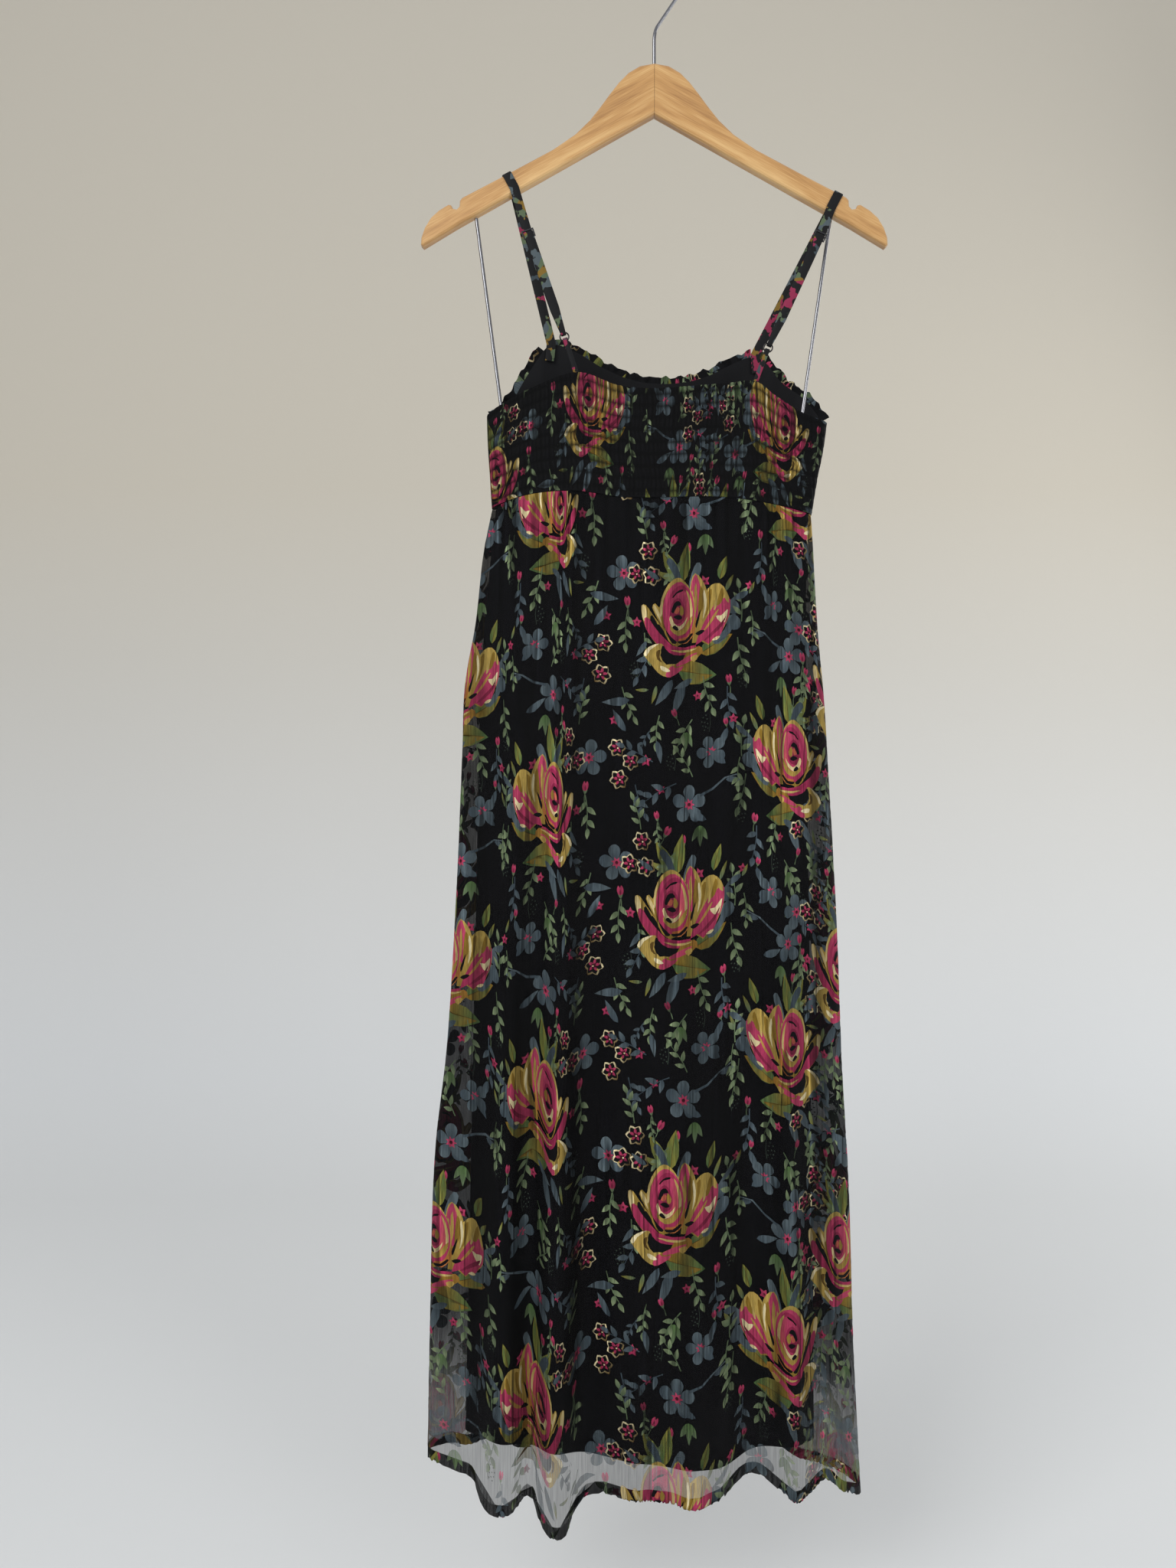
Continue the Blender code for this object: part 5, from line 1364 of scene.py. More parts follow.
def chiffon_panel(name, replaced, side, folds, hem_edge, columns, gathers, creases, fold_edge_shades, seed):
    """One printed chiffon panel of the skirt."""
    form = skirt_form(CHIFFON_RINGS, folds, side, hem_edge)
    low_row = FORM_ROWS // 2
    x_at = form.places[low_row, :, 0]
    row_width = form.high_u[low_row] - form.low_u[low_row]
    u_at = form.low_u[low_row] + np.linspace(0.0, 1.0, FORM_COLUMNS) * row_width
    left = form.low_u.min()
    right = form.high_u.max()
    bottom = form.length + HEM_TURN
    order = np.argsort(x_at)

    def u_of_x(x):
        return np.interp(x, x_at[order], u_at[order]) - PRINT_LEAN * form.length / 2

    paints = print_layout(columns, u_of_x, SKIRT_PRINT_TOP_Z, left, right, 0.0, bottom)
    across = np.arange(left, right, PANEL_STEP)
    near_waist = np.arange(0.0, 150.0, 5.0)
    near_hem = np.arange(862.0, form.length - 1, 5.0)
    at_hem = [form.length - 0.6, form.length, form.length + 0.6, form.length + HEM_TURN / 2]
    down = np.concatenate([near_waist, np.arange(150.0, 860.0, 9.0), near_hem, at_hem])
    place = skirt_place(form, side, gathers, creases, seed)
    shade = skirt_shade(form, gathers, creases, fold_edge_shades)
    made = printed_cloth(
        name, skirt_outline(form), across, down, place, paints, CHIFFON, (0.0, side, 0.0), shade, FINE_UNTIL
    )
    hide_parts(replaced)
    return made


BACK_GATHERS = listed(
    "pitch height reach seed",
    (11.5, 1.5, 0.16, 0.7),
    (5.2, 0.7, 0.06, 2.9),
)
FRONT_GATHERS = listed(
    "pitch height reach seed",
    (13.5, 1.6, 0.17, 1.9),
    (5.8, 0.7, 0.06, 4.1),
)
# Painted shade lines along fold edges, by the columns top_x, hem_x, start, end, left, right and depth: where
# each line runs across from the top to the hem, the shares of the drop where it starts and ends, its reach to
# the left and right, and how much it darkens the print.
BACK_FOLD_EDGE_SHADES = listed(
    "top_x hem_x start end left right depth",
    (-74.0, -80.0, -0.1, 0.9, 4.0, 13.0, 0.62),
    (-160.0, -171.0, 0.12, 0.97, 9.0, 4.0, 0.5),
    (147.0, 158.0, 0.14, 0.96, 4.0, 10.0, 0.55),
    (20.0, 24.0, -0.1, 0.34, 3.5, 7.0, 0.4),
    (-112.0, -126.0, 0.2, 0.7, 3.5, 7.0, 0.36),
    (66.0, 74.0, 0.3, 0.98, 8.0, 3.5, 0.38),
)
FRONT_FOLD_EDGE_SHADES = listed(
    "top_x hem_x start end left right depth",
    (-96.0, -104.0, -0.1, 0.86, 4.0, 12.0, 0.55),
    (38.0, 44.0, 0.1, 0.92, 9.0, 4.0, 0.45),
    (112.0, 122.0, -0.1, 0.8, 4.0, 10.0, 0.5),
)
BACK_CREASES = listed(
    "u start end width height slant",
    (-66.0, 40.0, 620.0, 5.0, 2.4, -12.0),
    (-8.0, 90.0, 840.0, 6.0, 2.2, 8.0),
    (12.0, 10.0, 420.0, 4.0, -1.6, 6.0),
    (66.0, 60.0, 940.0, 7.0, 3.0, 10.0),
    (88.0, 20.0, 520.0, 4.5, -2.0, 8.0),
    (104.0, 140.0, 900.0, 5.0, 2.6, 12.0),
    (-124.0, 60.0, 560.0, 6.0, 2.4, -14.0),
    (-160.0, 120.0, 800.0, 6.5, -2.2, -10.0),
    (148.0, 80.0, 700.0, 5.5, 2.0, 16.0),
    (40.0, 300.0, 930.0, 9.0, -2.2, -10.0),
    (-40.0, 360.0, 940.0, 8.0, 2.6, -6.0),
    (180.0, 200.0, 940.0, 6.0, -2.0, 12.0),
)
FRONT_CREASES = listed(
    "u start end width height slant",
    (-150.0, 60.0, 640.0, 6.0, 2.2, -10.0),
    (-110.0, 30.0, 460.0, 5.0, -2.0, -8.0),
    (-52.0, 80.0, 900.0, 7.0, 2.8, -6.0),
    (-6.0, 20.0, 540.0, 5.0, 2.0, 8.0),
    (26.0, 220.0, 930.0, 8.0, -2.6, 4.0),
    (74.0, 50.0, 700.0, 6.0, 2.4, 12.0),
    (120.0, 110.0, 880.0, 6.5, 2.6, 14.0),
    (152.0, 60.0, 560.0, 5.0, -2.0, 10.0),
    (196.0, 260.0, 940.0, 7.0, 2.0, 8.0),
)
chiffon_panel(
    "chiffon_back", "skirt_back", -1, BACK_FOLDS, HEM_EDGE_BACK, BACK_PRINT,
    BACK_GATHERS, BACK_CREASES, BACK_FOLD_EDGE_SHADES, 0.4,
)
chiffon_panel(
    "chiffon_front", "skirt_front", 1, FRONT_FOLDS, HEM_EDGE_FRONT, FRONT_PRINT,
    FRONT_GATHERS, FRONT_CREASES, FRONT_FOLD_EDGE_SHADES, 2.2,
)


def lining_panel(name, replaced, side, folds, hem_edge, seed):
    """One panel of the black lining with its narrow hem."""
    form = skirt_form(LINING_RINGS, folds, side, hem_edge, LINING_FOLD_SHARE, LINING_WAIST_DROP)
    rows = np.concatenate([np.linspace(0.0, 0.97, 130), [0.985, 0.9885, 0.989, 1.0]])
    proud = np.concatenate([np.zeros(132), [0.35, 0.35]])
    columns = np.linspace(0.0, 1.0, 181)
    row_at, column_at = np.meshgrid(rows * (FORM_ROWS - 1), columns * (FORM_COLUMNS - 1), indexing="ij")
    spot = read_grid(form.places, row_at.ravel(), column_at.ravel())
    normal = read_grid(form.normals, row_at.ravel(), column_at.ravel())
    run = read_grid(form.arcs, row_at.ravel(), column_at.ravel())[:, 0]
    share = np.repeat(rows, len(columns))
    fraction = np.tile(columns, len(rows))
    near_seam = rise(fraction / 0.04) * rise((1 - fraction) / 0.04)
    relief = 0.5 * waver(run, 14.0, seed) * np.exp(-((share / 0.12) ** 1.2))
    relief += 0.8 * waver(run, 46.0, seed + 1) * rise(share / 0.4)
    spot = spot + normal * (relief * near_seam - 0.4 + np.repeat(proud, len(columns)))[:, None]
    cloth = np.stack([run, share * form.length], axis=1)
    made = grid_cloth(name, spot.reshape(len(rows), len(columns), 3), LINING, cloth)
    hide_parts(replaced)
    return made


lining_panel("lining_back", "lining_skirt_back", -1, BACK_FOLDS, LINING_HEM_BACK, 1.3)
lining_panel("lining_front", "lining_skirt_front", 1, FRONT_FOLDS, LINING_HEM_FRONT, 3.1)

# Bodice
BODICE_LEVELS = 121
BODICE_FRACTIONS = 601
BODICE_TOP_Z = -355.0
BODICE_LOW_Z = -545.0
SHIRRED_PRINT_TOP_Z = -415.0
FRONT_PRINT_TOP_Z = -372.0
BodiceForm = namedtuple("BodiceForm", "places normals arcs top_z low_z")


def bodice_form(top_edge, side):
    """Places and plan normals over the bodice by height and by share of the ring."""
    levels = np.linspace(BODICE_TOP_Z, BODICE_LOW_Z, BODICE_LEVELS)
    fractions = np.linspace(0.0, 1.0, BODICE_FRACTIONS)
    places = np.zeros((BODICE_LEVELS, BODICE_FRACTIONS, 3))
    normals = np.zeros((BODICE_LEVELS, BODICE_FRACTIONS, 3))
    arcs = np.zeros((BODICE_LEVELS, BODICE_FRACTIONS, 1))
    for level, z in enumerate(levels):
        x, y = bodice_ring(z, side)
        run = run_length(x, y)
        slope_x = np.gradient(x, run)
        slope_y = np.gradient(y, run)
        size = np.hypot(slope_x, slope_y)
        at = fractions * run[-1]
        places[level, :, 0] = np.interp(at, run, x)
        places[level, :, 1] = np.interp(at, run, y) + side * HALF_GAP
        places[level, :, 2] = z
        normals[level, :, 0] = np.interp(at, run, slope_y / size) * -side
        normals[level, :, 1] = np.interp(at, run, -slope_x / size) * -side
        arcs[level, :, 0] = at
    top_z = np.full(BODICE_FRACTIONS, float(top_edge[0].z))
    low_z = np.full(BODICE_FRACTIONS, float(WAIST_SEAM[0].z))
    columns = np.arange(BODICE_FRACTIONS, dtype=float)
    for _ in range(EDGE_TRIES):
        for heights, edge in ((top_z, top_edge), (low_z, WAIST_SEAM)):
            level = (heights - BODICE_TOP_Z) / (BODICE_LOW_Z - BODICE_TOP_Z) * (BODICE_LEVELS - 1)
            x = read_grid(places, level, columns)[:, 0]
            heights[:] = through(edge, "x", "z", x)
    return BodiceForm(places, normals, arcs, top_z, low_z + WAIST_HALF_GAP)


def bodice_spot(form, fraction, share):
    """Place, plan normal and run at a share of the ring and a share of the panel's height."""
    column = np.clip(fraction, 0.0, 1.0) * (BODICE_FRACTIONS - 1)
    all_columns = np.arange(BODICE_FRACTIONS)
    top = np.interp(column, all_columns, form.top_z)
    low = np.interp(column, all_columns, form.low_z)
    z = top + (low - top) * share
    level = (z - BODICE_TOP_Z) / (BODICE_LOW_Z - BODICE_TOP_Z) * (BODICE_LEVELS - 1)
    spot = read_grid(form.places, level, column)
    spot[:, 2] = z
    return spot, read_grid(form.normals, level, column), read_grid(form.arcs, level, column)[:, 0]


ELASTIC_ROWS = 9
SMOCK_FULLNESS = 1.5
BODICE_HEIGHT = 112.0
BACK_BODICE_WIDTH = 352.0
FRONT_BODICE_WIDTH = 372.0
BACK_BODICE_PRINT = listed(
    "x z mirrored",
    (-168.0, -505.0, True),
    (-64.0, -447.0, False),
    (24.0, -584.0, True),
    (124.0, -452.0, True),
    (76.0, -318.0, False),
)
FRONT_BODICE_PRINT = listed(
    "x z mirrored",
    (-170.0, -470.0, True),
    (-56.0, -440.0, False),
    (62.0, -452.0, True),
    (172.0, -480.0, False),
)


def bodice_outline(width, height):
    """The rectangle of a bodice panel in cloth coordinates."""
    steps = np.linspace(0.0, 1.0, 40)
    top = [((share - 0.5) * width, 0.0) for share in steps]
    low = [((share - 0.5) * width, height) for share in steps[::-1]]
    return top + low


def shirred_back():
    """The back panel: fine upright gathers between rows of elastic, with painted shade in the gathers'
    troughs and along the rows.
    """
    form = bodice_form(BACK_TOP_EDGE, -1)
    width = BACK_BODICE_WIDTH * SMOCK_FULLNESS

    def gathers(run, share):
        row = share * ELASTIC_ROWS
        from_row = np.abs(row - np.floor(row) - 0.5) * 2
        drawn = 1 - np.exp(-((from_row / 0.3) ** 2))
        wander = 0.7 * waver(share * 100, 33.0, 1.1) + 0.25 * np.sin(np.floor(row) * 2.4 + run * 0.21)
        pleats = np.clip(waver(run + wander, 4.1, 0.5) * 0.5 + 0.5, 0.0, 1.0)
        return drawn, pleats, waver(run, 15.0, 2.2)

    # Painted light and shade: the print darkens in the troughs of the fine gathers and along the drawn-in
    # elastic rows, and lightens on the pleats' crests.
    def shade(u, drop):
        share = np.clip(drop / BODICE_HEIGHT, 0.0, 1.0)
        run = bodice_spot(form, u / width + 0.5, share)[2]
        drawn, pleats, broad = gathers(run, share)
        return (0.16 + 1.0 * pleats + 0.1 * broad) * (0.2 + 0.8 * drawn)

    def place(u, drop):
        fraction = u / width + 0.5
        share = drop / BODICE_HEIGHT
        spot, normal, run = bodice_spot(form, fraction, share)
        drawn, pleats, broad = gathers(run, share)
        relief = 0.25 + (0.3 + 0.7 * drawn) * (1.25 * pleats + 0.22 * broad) - 0.35 * (1 - drawn)
        edge = rise(fraction / 0.02) * rise((1 - fraction) / 0.02)
        return spot + normal * (relief * edge)[:, None]

    paints = print_layout(
        BACK_BODICE_PRINT, lambda x: x * SMOCK_FULLNESS, SHIRRED_PRINT_TOP_Z,
        -width / 2, width / 2, 0.0, BODICE_HEIGHT,
    )
    across = np.arange(-width / 2, width / 2, 1.45)
    down = []
    for row in range(ELASTIC_ROWS):
        for share in (0.0, 0.2, 0.36, 0.5, 0.64, 0.8):
            down.append((row + share) / ELASTIC_ROWS * BODICE_HEIGHT)
    made = printed_cloth(
        "shirred_back", bodice_outline(width, BODICE_HEIGHT), across, np.array(down), place, paints,
        BODICE_CHIFFON, (0.0, -1.0, 0.0), shade,
    )
    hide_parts("bodice_back_shirred")
    return made


def soft_front():
    """The front's outer layer with its soft cups, gathered at the neck edge and the waist."""
    form = bodice_form(FRONT_TOP_EDGE, 1)
    fullness = 1.15
    width = FRONT_BODICE_WIDTH * fullness
    height = 138.0

    def place(u, drop):
        fraction = u / width + 0.5
        share = drop / height
        spot, normal, run = bodice_spot(form, fraction, share)
        near_edge = np.exp(-((share / 0.3) ** 1.4)) + np.exp(-(((1 - share) / 0.28) ** 1.4))
        edge = rise(fraction / 0.03) * rise((1 - fraction) / 0.03)
        relief = near_edge * 0.85 * waver(run, 7.5, 1.7)
        relief = relief + 0.4 * waver(run, 31.0, 0.3) * np.sin(math.pi * share)
        return spot + normal * (relief * edge)[:, None]

    paints = print_layout(
        FRONT_BODICE_PRINT, lambda x: x * fullness, FRONT_PRINT_TOP_Z, -width / 2, width / 2, 0.0, height
    )
    across = np.arange(-width / 2, width / 2, 2.4)
    down = np.linspace(0.0, height, 34)
    made = printed_cloth(
        "soft_front", bodice_outline(width, height), across, down, place, paints,
        BODICE_CHIFFON, (0.0, 1.0, 0.0),
    )
    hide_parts("bodice_front")
    return made


def front_lining():
    """The black lining inside the front."""
    form = bodice_form(FRONT_TOP_EDGE, 1)
    rows = np.linspace(0.0, 1.0, 50)
    columns = np.linspace(0.0, 1.0, 140)
    share = np.repeat(rows, len(columns))
    fraction = np.tile(columns, len(rows))
    spot, normal, run = bodice_spot(form, fraction, share)
    inside = BODICE_WALL + FRONT_GATHER_HEIGHT + GAP + LINING_WALL / 2
    edge = rise(fraction / 0.04) * rise((1 - fraction) / 0.04)
    relief = 0.35 * waver(run, 22.0, 0.8) * edge
    spot = spot + normal * (relief - inside)[:, None]
    cloth = np.stack([run, share * 130.0], axis=1)
    made = grid_cloth("front_lining_cloth", spot.reshape(len(rows), len(columns), 3), LINING, cloth)
    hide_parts("bodice_front_lining")
    return made


shirred_back()
soft_front()
front_lining()


FRILL_PRINT_FULLNESS = 1.6
FRILL_CUT_FULLNESS = 1.15


def frill(shape, seed):
    """A printed frill that stands on the front's top edge."""
    depth = RUFFLE_HEIGHT + 0.2
    length = (shape.end_x - shape.start_x) * FRILL_PRINT_FULLNESS
    pitch = (shape.end_x - shape.start_x) / shape.waves

    def place(u, drop):
        share = u / length
        x = shape.start_x + (shape.end_x - shape.start_x) * share
        z = through(FRONT_TOP_EDGE, "x", "z", x)
        step = 0.5
        ahead = through(FRONT_TOP_EDGE, "x", "z", x + step)
        slope = (ahead - through(FRONT_TOP_EDGE, "x", "z", x - step)) / (2 * step)
        size = np.sqrt(1 + slope * slope)
        sampled = np.linspace(shape.start_x, shape.end_x, 160)
        sampled_z = through(FRONT_TOP_EDGE, "x", "z", sampled)
        sampled_y = np.array([bodice_y(px, pz, 1) for px, pz in zip(sampled, sampled_z)])
        y = np.interp(x, sampled, sampled_y) - BODICE_WALL / 2 + HALF_GAP
        up = (depth - drop) / depth
        height = FRILL_FOOT + up * (RUFFLE_HEIGHT + 1.6) * (1.0 + 0.16 * waver(x, 14.0, seed))
        swing = RUFFLE_WAVE_TOP * 1.3 * up * waver(x + 0.8 * waver(x, 23.0, seed), pitch * 1.3, seed)
        return np.stack([x - slope / size * height, y + RUFFLE_LEAN * up + swing, z + height / size], axis=1)

    outline = [(share * length, 0.0) for share in np.linspace(0, 1, 60)]
    outline += [(share * length, depth) for share in np.linspace(1, 0, 60)]
    paints = print_layout(
        FRONT_BODICE_PRINT, lambda x: x - shape.start_x + seed * 11, FRONT_PRINT_TOP_Z,
        0.0, length, 0.0, depth,
    )
    across = np.arange(0.0, length, 1.3)
    down = np.array([0.6, 1.8, 3.4, 5.2, 7.0])
    made = printed_cloth(shape.name, outline, across, down, place, paints, BODICE_CHIFFON, (0.0, 1.0, 0.0))
    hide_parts(shape.replaced)
    edge_x = np.linspace(shape.start_x, shape.end_x, 80)
    flat_length = FRILL_CUT_FULLNESS * run_length(edge_x, through(FRONT_TOP_EDGE, "x", "z", edge_x))[-1]
    return made


for number, shape in enumerate(RUFFLES):
    frill(shape, 1.0 + number * 1.7)


# Hanger and trimmings
def tube(path, radius, sides, closed=False):
    """Points and faces of a round wire along a path in an upright plane."""
    path = np.asarray(path, float)
    count = len(path)
    if closed:
        tangents = np.roll(path, -1, axis=0) - np.roll(path, 1, axis=0)
    else:
        tangents = np.gradient(path, axis=0)
    tangents /= np.linalg.norm(tangents, axis=1)[:, None]
    depth = np.array([0.0, 1.0, 0.0])
    points = []
    for place, tangent in zip(path, tangents):
        across = np.cross(depth, tangent)
        for turn in range(sides):
            angle = 2 * math.pi * (turn + 0.5) / sides
            points.append(place + radius * (math.cos(angle) * across + math.sin(angle) * depth))
    faces = []
    for step in range(count if closed else count - 1):
        after = (step + 1) % count
        for turn in range(sides):
            beside = (turn + 1) % sides
            here = step * sides
            there = after * sides
            faces.append((here + turn, here + beside, there + beside, there + turn))
    if not closed:
        faces.append(tuple(reversed(range(sides))))
        faces.append(tuple((count - 1) * sides + turn for turn in range(sides)))
    return points, faces


def underside_z(x):
    """Height of the hanger's straight underside."""
    return UNDERSIDE_TOP_Z - abs(x) * UNDERSIDE_SLOPE


def wire_piece(name, path, replaced):
    """A chromed wire piece that replaces a plainer one."""
    points, faces = tube(path, WIRE_RADIUS, 24)
    made = link_mesh(name, points, faces, CHROME)
    made.data.set_sharp_from_angle(angle=math.radians(50))
    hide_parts(replaced)
    return made


def hook_path():
    """The hook's centreline, from its tip over the rail's place to the crown."""
    centre_z = WIRE_RADIUS - HOOK_RADIUS
    path = []
    steps = 60
    for step in range(steps + 1):
        angle = math.radians(HOOK_TIP_DEG + (HOOK_END_DEG - HOOK_TIP_DEG) * step / steps)
        path.append((HOOK_RADIUS * math.cos(angle), 0.0, centre_z + HOOK_RADIUS * math.sin(angle)))
    start = np.array(path[-1])
    corner = np.array([0.0, 0.0, SHANK_BEND_Z])
    down = np.array([0.0, 0.0, SHANK_BEND_Z - 10.0])
    for share in np.linspace(0.1, 1.0, 10):
        path.append(tuple(start + (corner - start) * share * 0.82))
    lead = np.array(path[-1])
    for share in np.linspace(0.1, 1.0, 10):
        path.append(tuple(lead * (1 - share) ** 2 + corner * 2 * share * (1 - share) + down * share**2))
    path.append((0.0, 0.0, CROWN_TOP_Z + GAP))
    return path


def bar_path():
    """The drop bar's centreline."""
    left_top = np.array([BAR_LEFT_TOP_X, 0.0, underside_z(BAR_LEFT_TOP_X) - BAR_TOP_CLEARANCE])
    left_low = np.array([BAR_LEFT_LOW_X, 0.0, BAR_LOW_Z])
    right_low = np.array([BAR_RIGHT_LOW_X, 0.0, BAR_LOW_Z])
    right_top = np.array([BAR_RIGHT_TOP_X, 0.0, underside_z(BAR_RIGHT_TOP_X) - BAR_TOP_CLEARANCE])
    path = [left_top, (left_top + left_low) / 2]
    for before, corner, after in ((left_top, left_low, right_low), (left_low, right_low, right_top)):
        start = corner + (before - corner) / np.linalg.norm(before - corner) * BAR_BEND_RADIUS
        end = corner + (after - corner) / np.linalg.norm(after - corner) * BAR_BEND_RADIUS
        for step in range(17):
            share = step / 16
            path.append(start * (1 - share) ** 2 + corner * 2 * share * (1 - share) + end * share**2)
        if corner is left_low:
            path.append((left_low + right_low) / 2)
    path += [(right_top + right_low) / 2, right_top]
    return path


wire_piece("hook_wire", hook_path(), "hanger_hook")
wire_piece("drop_bar_wire", bar_path(), "drop_bar")


def finish_node(node, material):
    """Gives a carried-over solid its looks."""
    kept = bpy.data.objects[node]
    for slot in kept.material_slots:
        slot.material = material


for node in ("hanger_arm_left", "hanger_arm_right"):
    finish_node(node, WOOD)


def band(path, across, widths, thickness):
    """Points and faces of a flat strip along a path, with rounded long edges."""
    path = np.asarray(path, float)
    across = np.asarray(across, float)
    tangents = np.gradient(path, axis=0)
    tangents /= np.linalg.norm(tangents, axis=1)[:, None]
    section = (
        (-0.5, -0.16), (-0.44, -0.5), (0.44, -0.5), (0.5, -0.16),
        (0.5, 0.16), (0.44, 0.5), (-0.44, 0.5), (-0.5, 0.16),
    )
    points = []
    for step, (place, tangent, width) in enumerate(zip(path, tangents, widths)):
        side = across[step] - np.dot(across[step], tangent) * tangent
        side /= np.linalg.norm(side)
        face = np.cross(tangent, side)
        for along_side, along_face in section:
            points.append(place + along_side * side * width + along_face * face * thickness)
    count = len(section)
    faces = []
    for step in range(len(path) - 1):
        for corner in range(count):
            beside = (corner + 1) % count
            here = step * count
            there = here + count
            faces.append((here + corner, here + beside, there + beside, there + corner))
    faces.append(tuple(reversed(range(count))))
    faces.append(tuple((len(path) - 1) * count + corner for corner in range(count)))
    return points, faces


def arm_top(x):
    """Height and outward direction of the hanger's top edge where a strap crosses it."""
    top = [point for point in ARM_OUTLINE if point.x <= ARM_OUTLINE[10].x]
    reach = abs(x)
    step = 1.0
    z = float(np.interp(reach, [p.x for p in top], [p.z for p in top]))
    ahead = float(np.interp(reach + step, [p.x for p in top], [p.z for p in top]))
    slope = math.atan2(z - ahead, step)
    sign = math.copysign(1.0, x)
    outward = np.array([sign * math.sin(slope), 0.0, math.cos(slope)])
    along = np.array([math.cos(slope), 0.0, -sign * math.sin(slope)])
    return z, outward, along


def across_run(start, end):
    """Direction of a strap's width where it runs from start to end, level with the panel it lies over."""
    run = np.array([end[0] - start[0], 0.0, end[2] - start[2]])
    run /= np.linalg.norm(run)
    if run[2] > 0:
        run = -run
    return np.array([-run[2], 0.0, run[0]])


def half_turn(centre, first, last, radius):
    """Points of a half circle about centre, from the first direction through the last one to its opposite."""
    points = []
    for step in range(TURN_STEPS + 1):
        angle = math.pi * step / TURN_STEPS
        points.append(centre + radius * (math.cos(angle) * first + math.sin(angle) * last))
    return points


def slider_place(side):
    """Middle of the slider's centre bar."""
    return np.array([side.slider_x, -11.6, side.slider_z])


STRAP_FACE_RUN = 16.0
STRAP_ABOVE_PEAK = 2.0
STRAP_BEHIND_LINING = 0.4
STRAP_SEWN_SHIFT = 1.5
STRAP_BESIDE_SLIDER = 6.0
STRAP_NEAR_RING = 0.75
STRAP_BAR_RUN = 4.0
STRAP_END_RUN = 4.5
STRAP_DEPTH_AT_RING = -12.3
RING_STEPS = 48
TAB_TURN = 2.1
TAB_ABOVE_EDGE = 3.0


def strap(side):
    """One strap, from inside the front's peak over the hanger's arm to the ring, and back to the slider."""
    depth = np.array([0.0, 1.0, 0.0])
    top_z, outward, along = arm_top(side.cross_x)
    crossing = np.array([side.cross_x, 0.0, top_z])
    lining_in = BODICE_WALL + FRONT_GATHER_HEIGHT + GAP + LINING_WALL + GAP + STRAP_WALL / 2 + HALF_GAP
    peak_y = bodice_y(side.peak_x, side.peak_z, 1) - lining_in - STRAP_BEHIND_LINING
    sewn_y = bodice_y(side.peak_x, side.peak_z - STRAP_SEWN_LENGTH, 1) - lining_in - STRAP_BEHIND_LINING
    corner = ARM_DEPTH / 2 - ARM_ROUNDING
    off_wood = ARM_ROUNDING + GAP + STRAP_WALL / 2
    face_y = corner + off_wood
    peak = np.array([side.peak_x, peak_y, side.peak_z + STRAP_ABOVE_PEAK])
    sewn = np.array([side.peak_x + side.sign * STRAP_SEWN_SHIFT, sewn_y, side.peak_z - STRAP_SEWN_LENGTH])
    front_face = crossing - outward * STRAP_FACE_RUN + depth * face_y
    back_face = crossing - outward * STRAP_FACE_RUN - depth * face_y
    ring = np.array([side.ring_x, STRAP_DEPTH_AT_RING, side.ring_z])
    slider = slider_place(side)
    path = [sewn, peak, (peak + front_face) / 2, front_face]
    sides = [across_run(peak, front_face)] * 3 + [along]
    widths = [STRAP_WIDTH] * 4
    for centre_y, start_deg, end_deg in ((corner, 0.0, 90.0), (-corner, 90.0, 180.0)):
        for step in range(5):
            angle = math.radians(start_deg + (end_deg - start_deg) * step / 4)
            place = crossing + depth * (centre_y + off_wood * math.cos(angle))
            path.append(place + outward * (off_wood * math.sin(angle) - ARM_ROUNDING))
            sides.append(along)
            widths.append(STRAP_WIDTH)
    path.append(back_face)
    sides.append(along)
    widths.append(STRAP_WIDTH)
    run = ring - slider
    run[1] = 0.0
    run /= np.linalg.norm(run)
    lateral = across_run(slider, ring)
    behind = RING_WIRE + GAP + STRAP_WALL / 2
    bar_round = SLIDER_BAR / 2 + GAP + STRAP_WALL / 2
    main_behind = bar_round + STRAP_WALL + GAP
    slider_main = slider + depth * main_behind
    turn_centre = ring - run * (behind * 2)
    path += [slider_main - run * STRAP_BESIDE_SLIDER, slider_main + run * STRAP_BESIDE_SLIDER]
    path.append(slider_main + (turn_centre + depth * behind - slider_main) * STRAP_NEAR_RING)
    path += half_turn(turn_centre, depth, run, behind)
    return_start = turn_centre - depth * behind
    return_end = slider - depth * bar_round
    path.append(return_start + (return_end - return_start) * (1 - STRAP_NEAR_RING))
    path.append(return_end + run * STRAP_BAR_RUN)
    path += half_turn(slider, -depth, -run, bar_round)
    path.append(slider + depth * bar_round + run * STRAP_END_RUN)
    sides += [lateral] * (len(path) - len(sides))
    narrow = [STRAP_WIDTH_AT_RING] * (TURN_STEPS + 1)
    widths += [STRAP_WIDTH] * 3 + narrow
    widths += [STRAP_WIDTH] * (len(path) - len(widths))
    points, faces = band(path, sides, widths, STRAP_WALL)
    made = link_mesh(f"strap_band_{side.name}", points, faces, STRAP)
    made.data.set_sharp_from_angle(angle=math.radians(70))
    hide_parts(f"strap_{side.name}")
    return made


def strap_ring(side):
    """The small metal ring, rounder than its solid."""
    centre = np.array([side.ring_x, STRAP_DEPTH_AT_RING, side.ring_z])
    path = []
    for step in range(RING_STEPS):
        angle = 2 * math.pi * step / RING_STEPS
        path.append(centre + RING_RADIUS * np.array([math.cos(angle), 0.0, math.sin(angle)]))
    points, faces = tube(path, RING_WIRE, 14, closed=True)
    made = link_mesh(f"ring_metal_{side.name}", points, faces, DARK_METAL)
    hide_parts(f"ring_{side.name}")
    return made


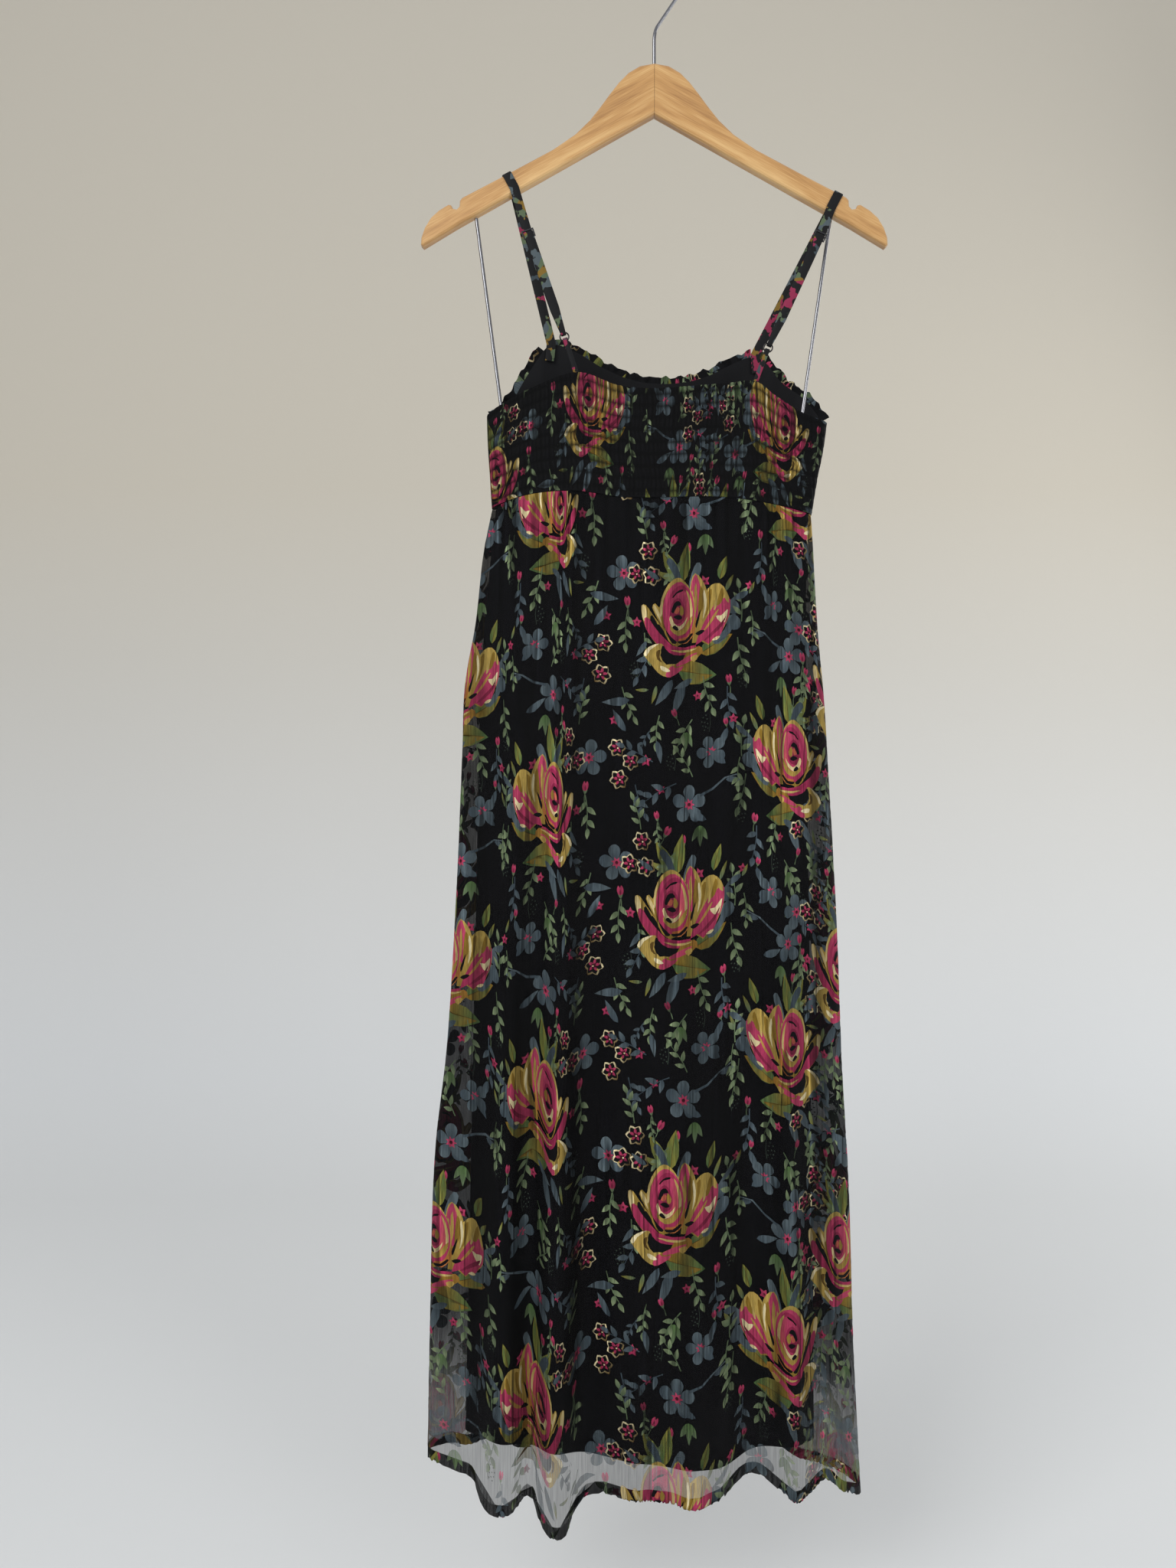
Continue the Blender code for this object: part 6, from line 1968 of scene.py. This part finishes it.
def ring_tab(side):
    """The short loop that holds a ring to the back panel's top edge."""
    depth = np.array([0.0, 1.0, 0.0])
    ring = np.array([side.ring_x, STRAP_DEPTH_AT_RING, side.ring_z])
    edge = np.array([side.tab_x, 0.0, side.tab_z])
    run = edge - ring
    run[1] = 0.0
    run /= np.linalg.norm(run)
    lateral = across_run(ring, edge)
    around = RING_WIRE + GAP + TAB_WALL / 2
    turn_centre = ring + run * (around * TAB_TURN)
    sewn_z = side.tab_z - TAB_SEWN_LENGTH
    sewn_x = side.tab_x + run[0] * TAB_SEWN_LENGTH
    clear_of_panel = BODICE_WALL + GAP + TAB_WALL / 2 + HALF_GAP
    edge_y = bodice_y(side.tab_x, side.tab_z, -1) + clear_of_panel
    sewn_y = bodice_y(sewn_x, sewn_z, -1) + clear_of_panel
    near_top = np.array([side.tab_x, edge_y, side.tab_z + TAB_ABOVE_EDGE])
    near_low = np.array([sewn_x, sewn_y, sewn_z])
    apart = depth * TAB_SPACING
    path = [near_low, near_top]
    path += half_turn(turn_centre, -depth, -run, around)
    path += [near_top + apart, near_low + apart]
    points, faces = band(path, [lateral] * len(path), [TAB_WIDTH] * len(path), TAB_WALL)
    made = link_mesh(f"tab_band_{side.name}", points, faces, STRAP)
    made.data.set_sharp_from_angle(angle=math.radians(70))
    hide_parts(f"ring_tab_{side.name}")
    return made


for side in STRAP_SIDES:
    strap(side)
    strap_ring(side)
    ring_tab(side)
    finish_node(f"slider_{side.name}", PLASTIC)


# Floor, backdrop and light
FLOOR_Z = -1.62
BACKDROP_Y = 2.4
SWEEP_RADIUS = 1.2
STAGE_HALF_WIDTH = 25.0
FLOOR_FRONT_Y = -25.0


def pale_stage():
    """A plain pale floor that sweeps up into a backdrop."""
    profile = [(FLOOR_FRONT_Y, FLOOR_Z), (BACKDROP_Y - SWEEP_RADIUS, FLOOR_Z)]
    for step in range(1, 13):
        angle = math.pi / 2 * step / 12
        y = BACKDROP_Y - SWEEP_RADIUS + SWEEP_RADIUS * math.sin(angle)
        profile.append((y, FLOOR_Z + SWEEP_RADIUS * (1 - math.cos(angle))))
    profile.append((BACKDROP_Y, 3.4))
    points = []
    for x in (-STAGE_HALF_WIDTH, STAGE_HALF_WIDTH):
        points += [(x, y, z) for y, z in profile]
    count = len(profile)
    faces = [(step, step + 1, count + step + 1, count + step) for step in range(count - 1)]
    mesh = bpy.data.meshes.new("pale_stage")
    mesh.from_pydata(points, [], faces)
    mesh.shade_smooth()
    made, nodes, links, shader, _ = new_material("pale_wall")
    place = nodes.new("ShaderNodeTexCoord").outputs["Object"]
    plaster = nodes.new("ShaderNodeTexNoise")
    plaster.inputs["Scale"].default_value = 60.0
    plaster.inputs["Detail"].default_value = 5.0
    links.new(place, plaster.inputs["Vector"])
    height = nodes.new("ShaderNodeSeparateXYZ")
    links.new(place, height.inputs["Vector"])
    paint = nodes.new("ShaderNodeValToRGB")
    paint.color_ramp.elements[0].color = (*srgb(212, 214, 214), 1.0)
    paint.color_ramp.elements[1].color = (*srgb(204, 197, 182), 1.0)
    links.new(ranged(nodes, links, height.outputs["Z"], -1.5, 0.1, 0.0, 1.0), paint.inputs["Fac"])
    links.new(paint.outputs["Color"], shader.inputs["Base Color"])
    shader.inputs["Roughness"].default_value = 0.9
    bumped(nodes, links, shader, plaster.outputs["Fac"], 0.0008, 0.3)
    mesh.materials.append(made)
    stage = bpy.data.objects.new("pale_stage", mesh)
    bpy.context.scene.collection.objects.link(stage)


def soft_light(name, place, aim, size, power):
    """A large area light that points at a place."""
    lamp = bpy.data.lights.new(name, "AREA")
    lamp.shape = "RECTANGLE"
    lamp.size = size
    lamp.size_y = size
    lamp.energy = power
    made = bpy.data.objects.new(name, lamp)
    made.location = place
    direction = np.array(aim) - np.array(place)
    flat = math.hypot(direction[0], direction[1])
    made.rotation_euler = (math.atan2(flat, -direction[2]), 0.0, math.atan2(-direction[0], direction[1]))
    bpy.context.scene.collection.objects.link(made)


pale_stage()
soft_light("key", (-1.7, -2.2, 0.9), (0.0, 0.0, -0.8), 1.6, 48.0)
soft_light("fill", (1.9, -2.3, -0.3), (0.0, 0.1, -1.2), 1.3, 24.0)
soft_light("far", (2.6, 1.1, 0.2), (0.0, 0.0, -0.7), 1.4, 24.0)
world = bpy.data.worlds.new("soft_room")
world.use_nodes = True
world.node_tree.nodes["Background"].inputs["Color"].default_value = (0.93, 0.95, 1.0, 1.0)
world.node_tree.nodes["Background"].inputs["Strength"].default_value = 0.7
bpy.context.scene.world = world
bpy.context.scene.view_settings.view_transform = "Standard"
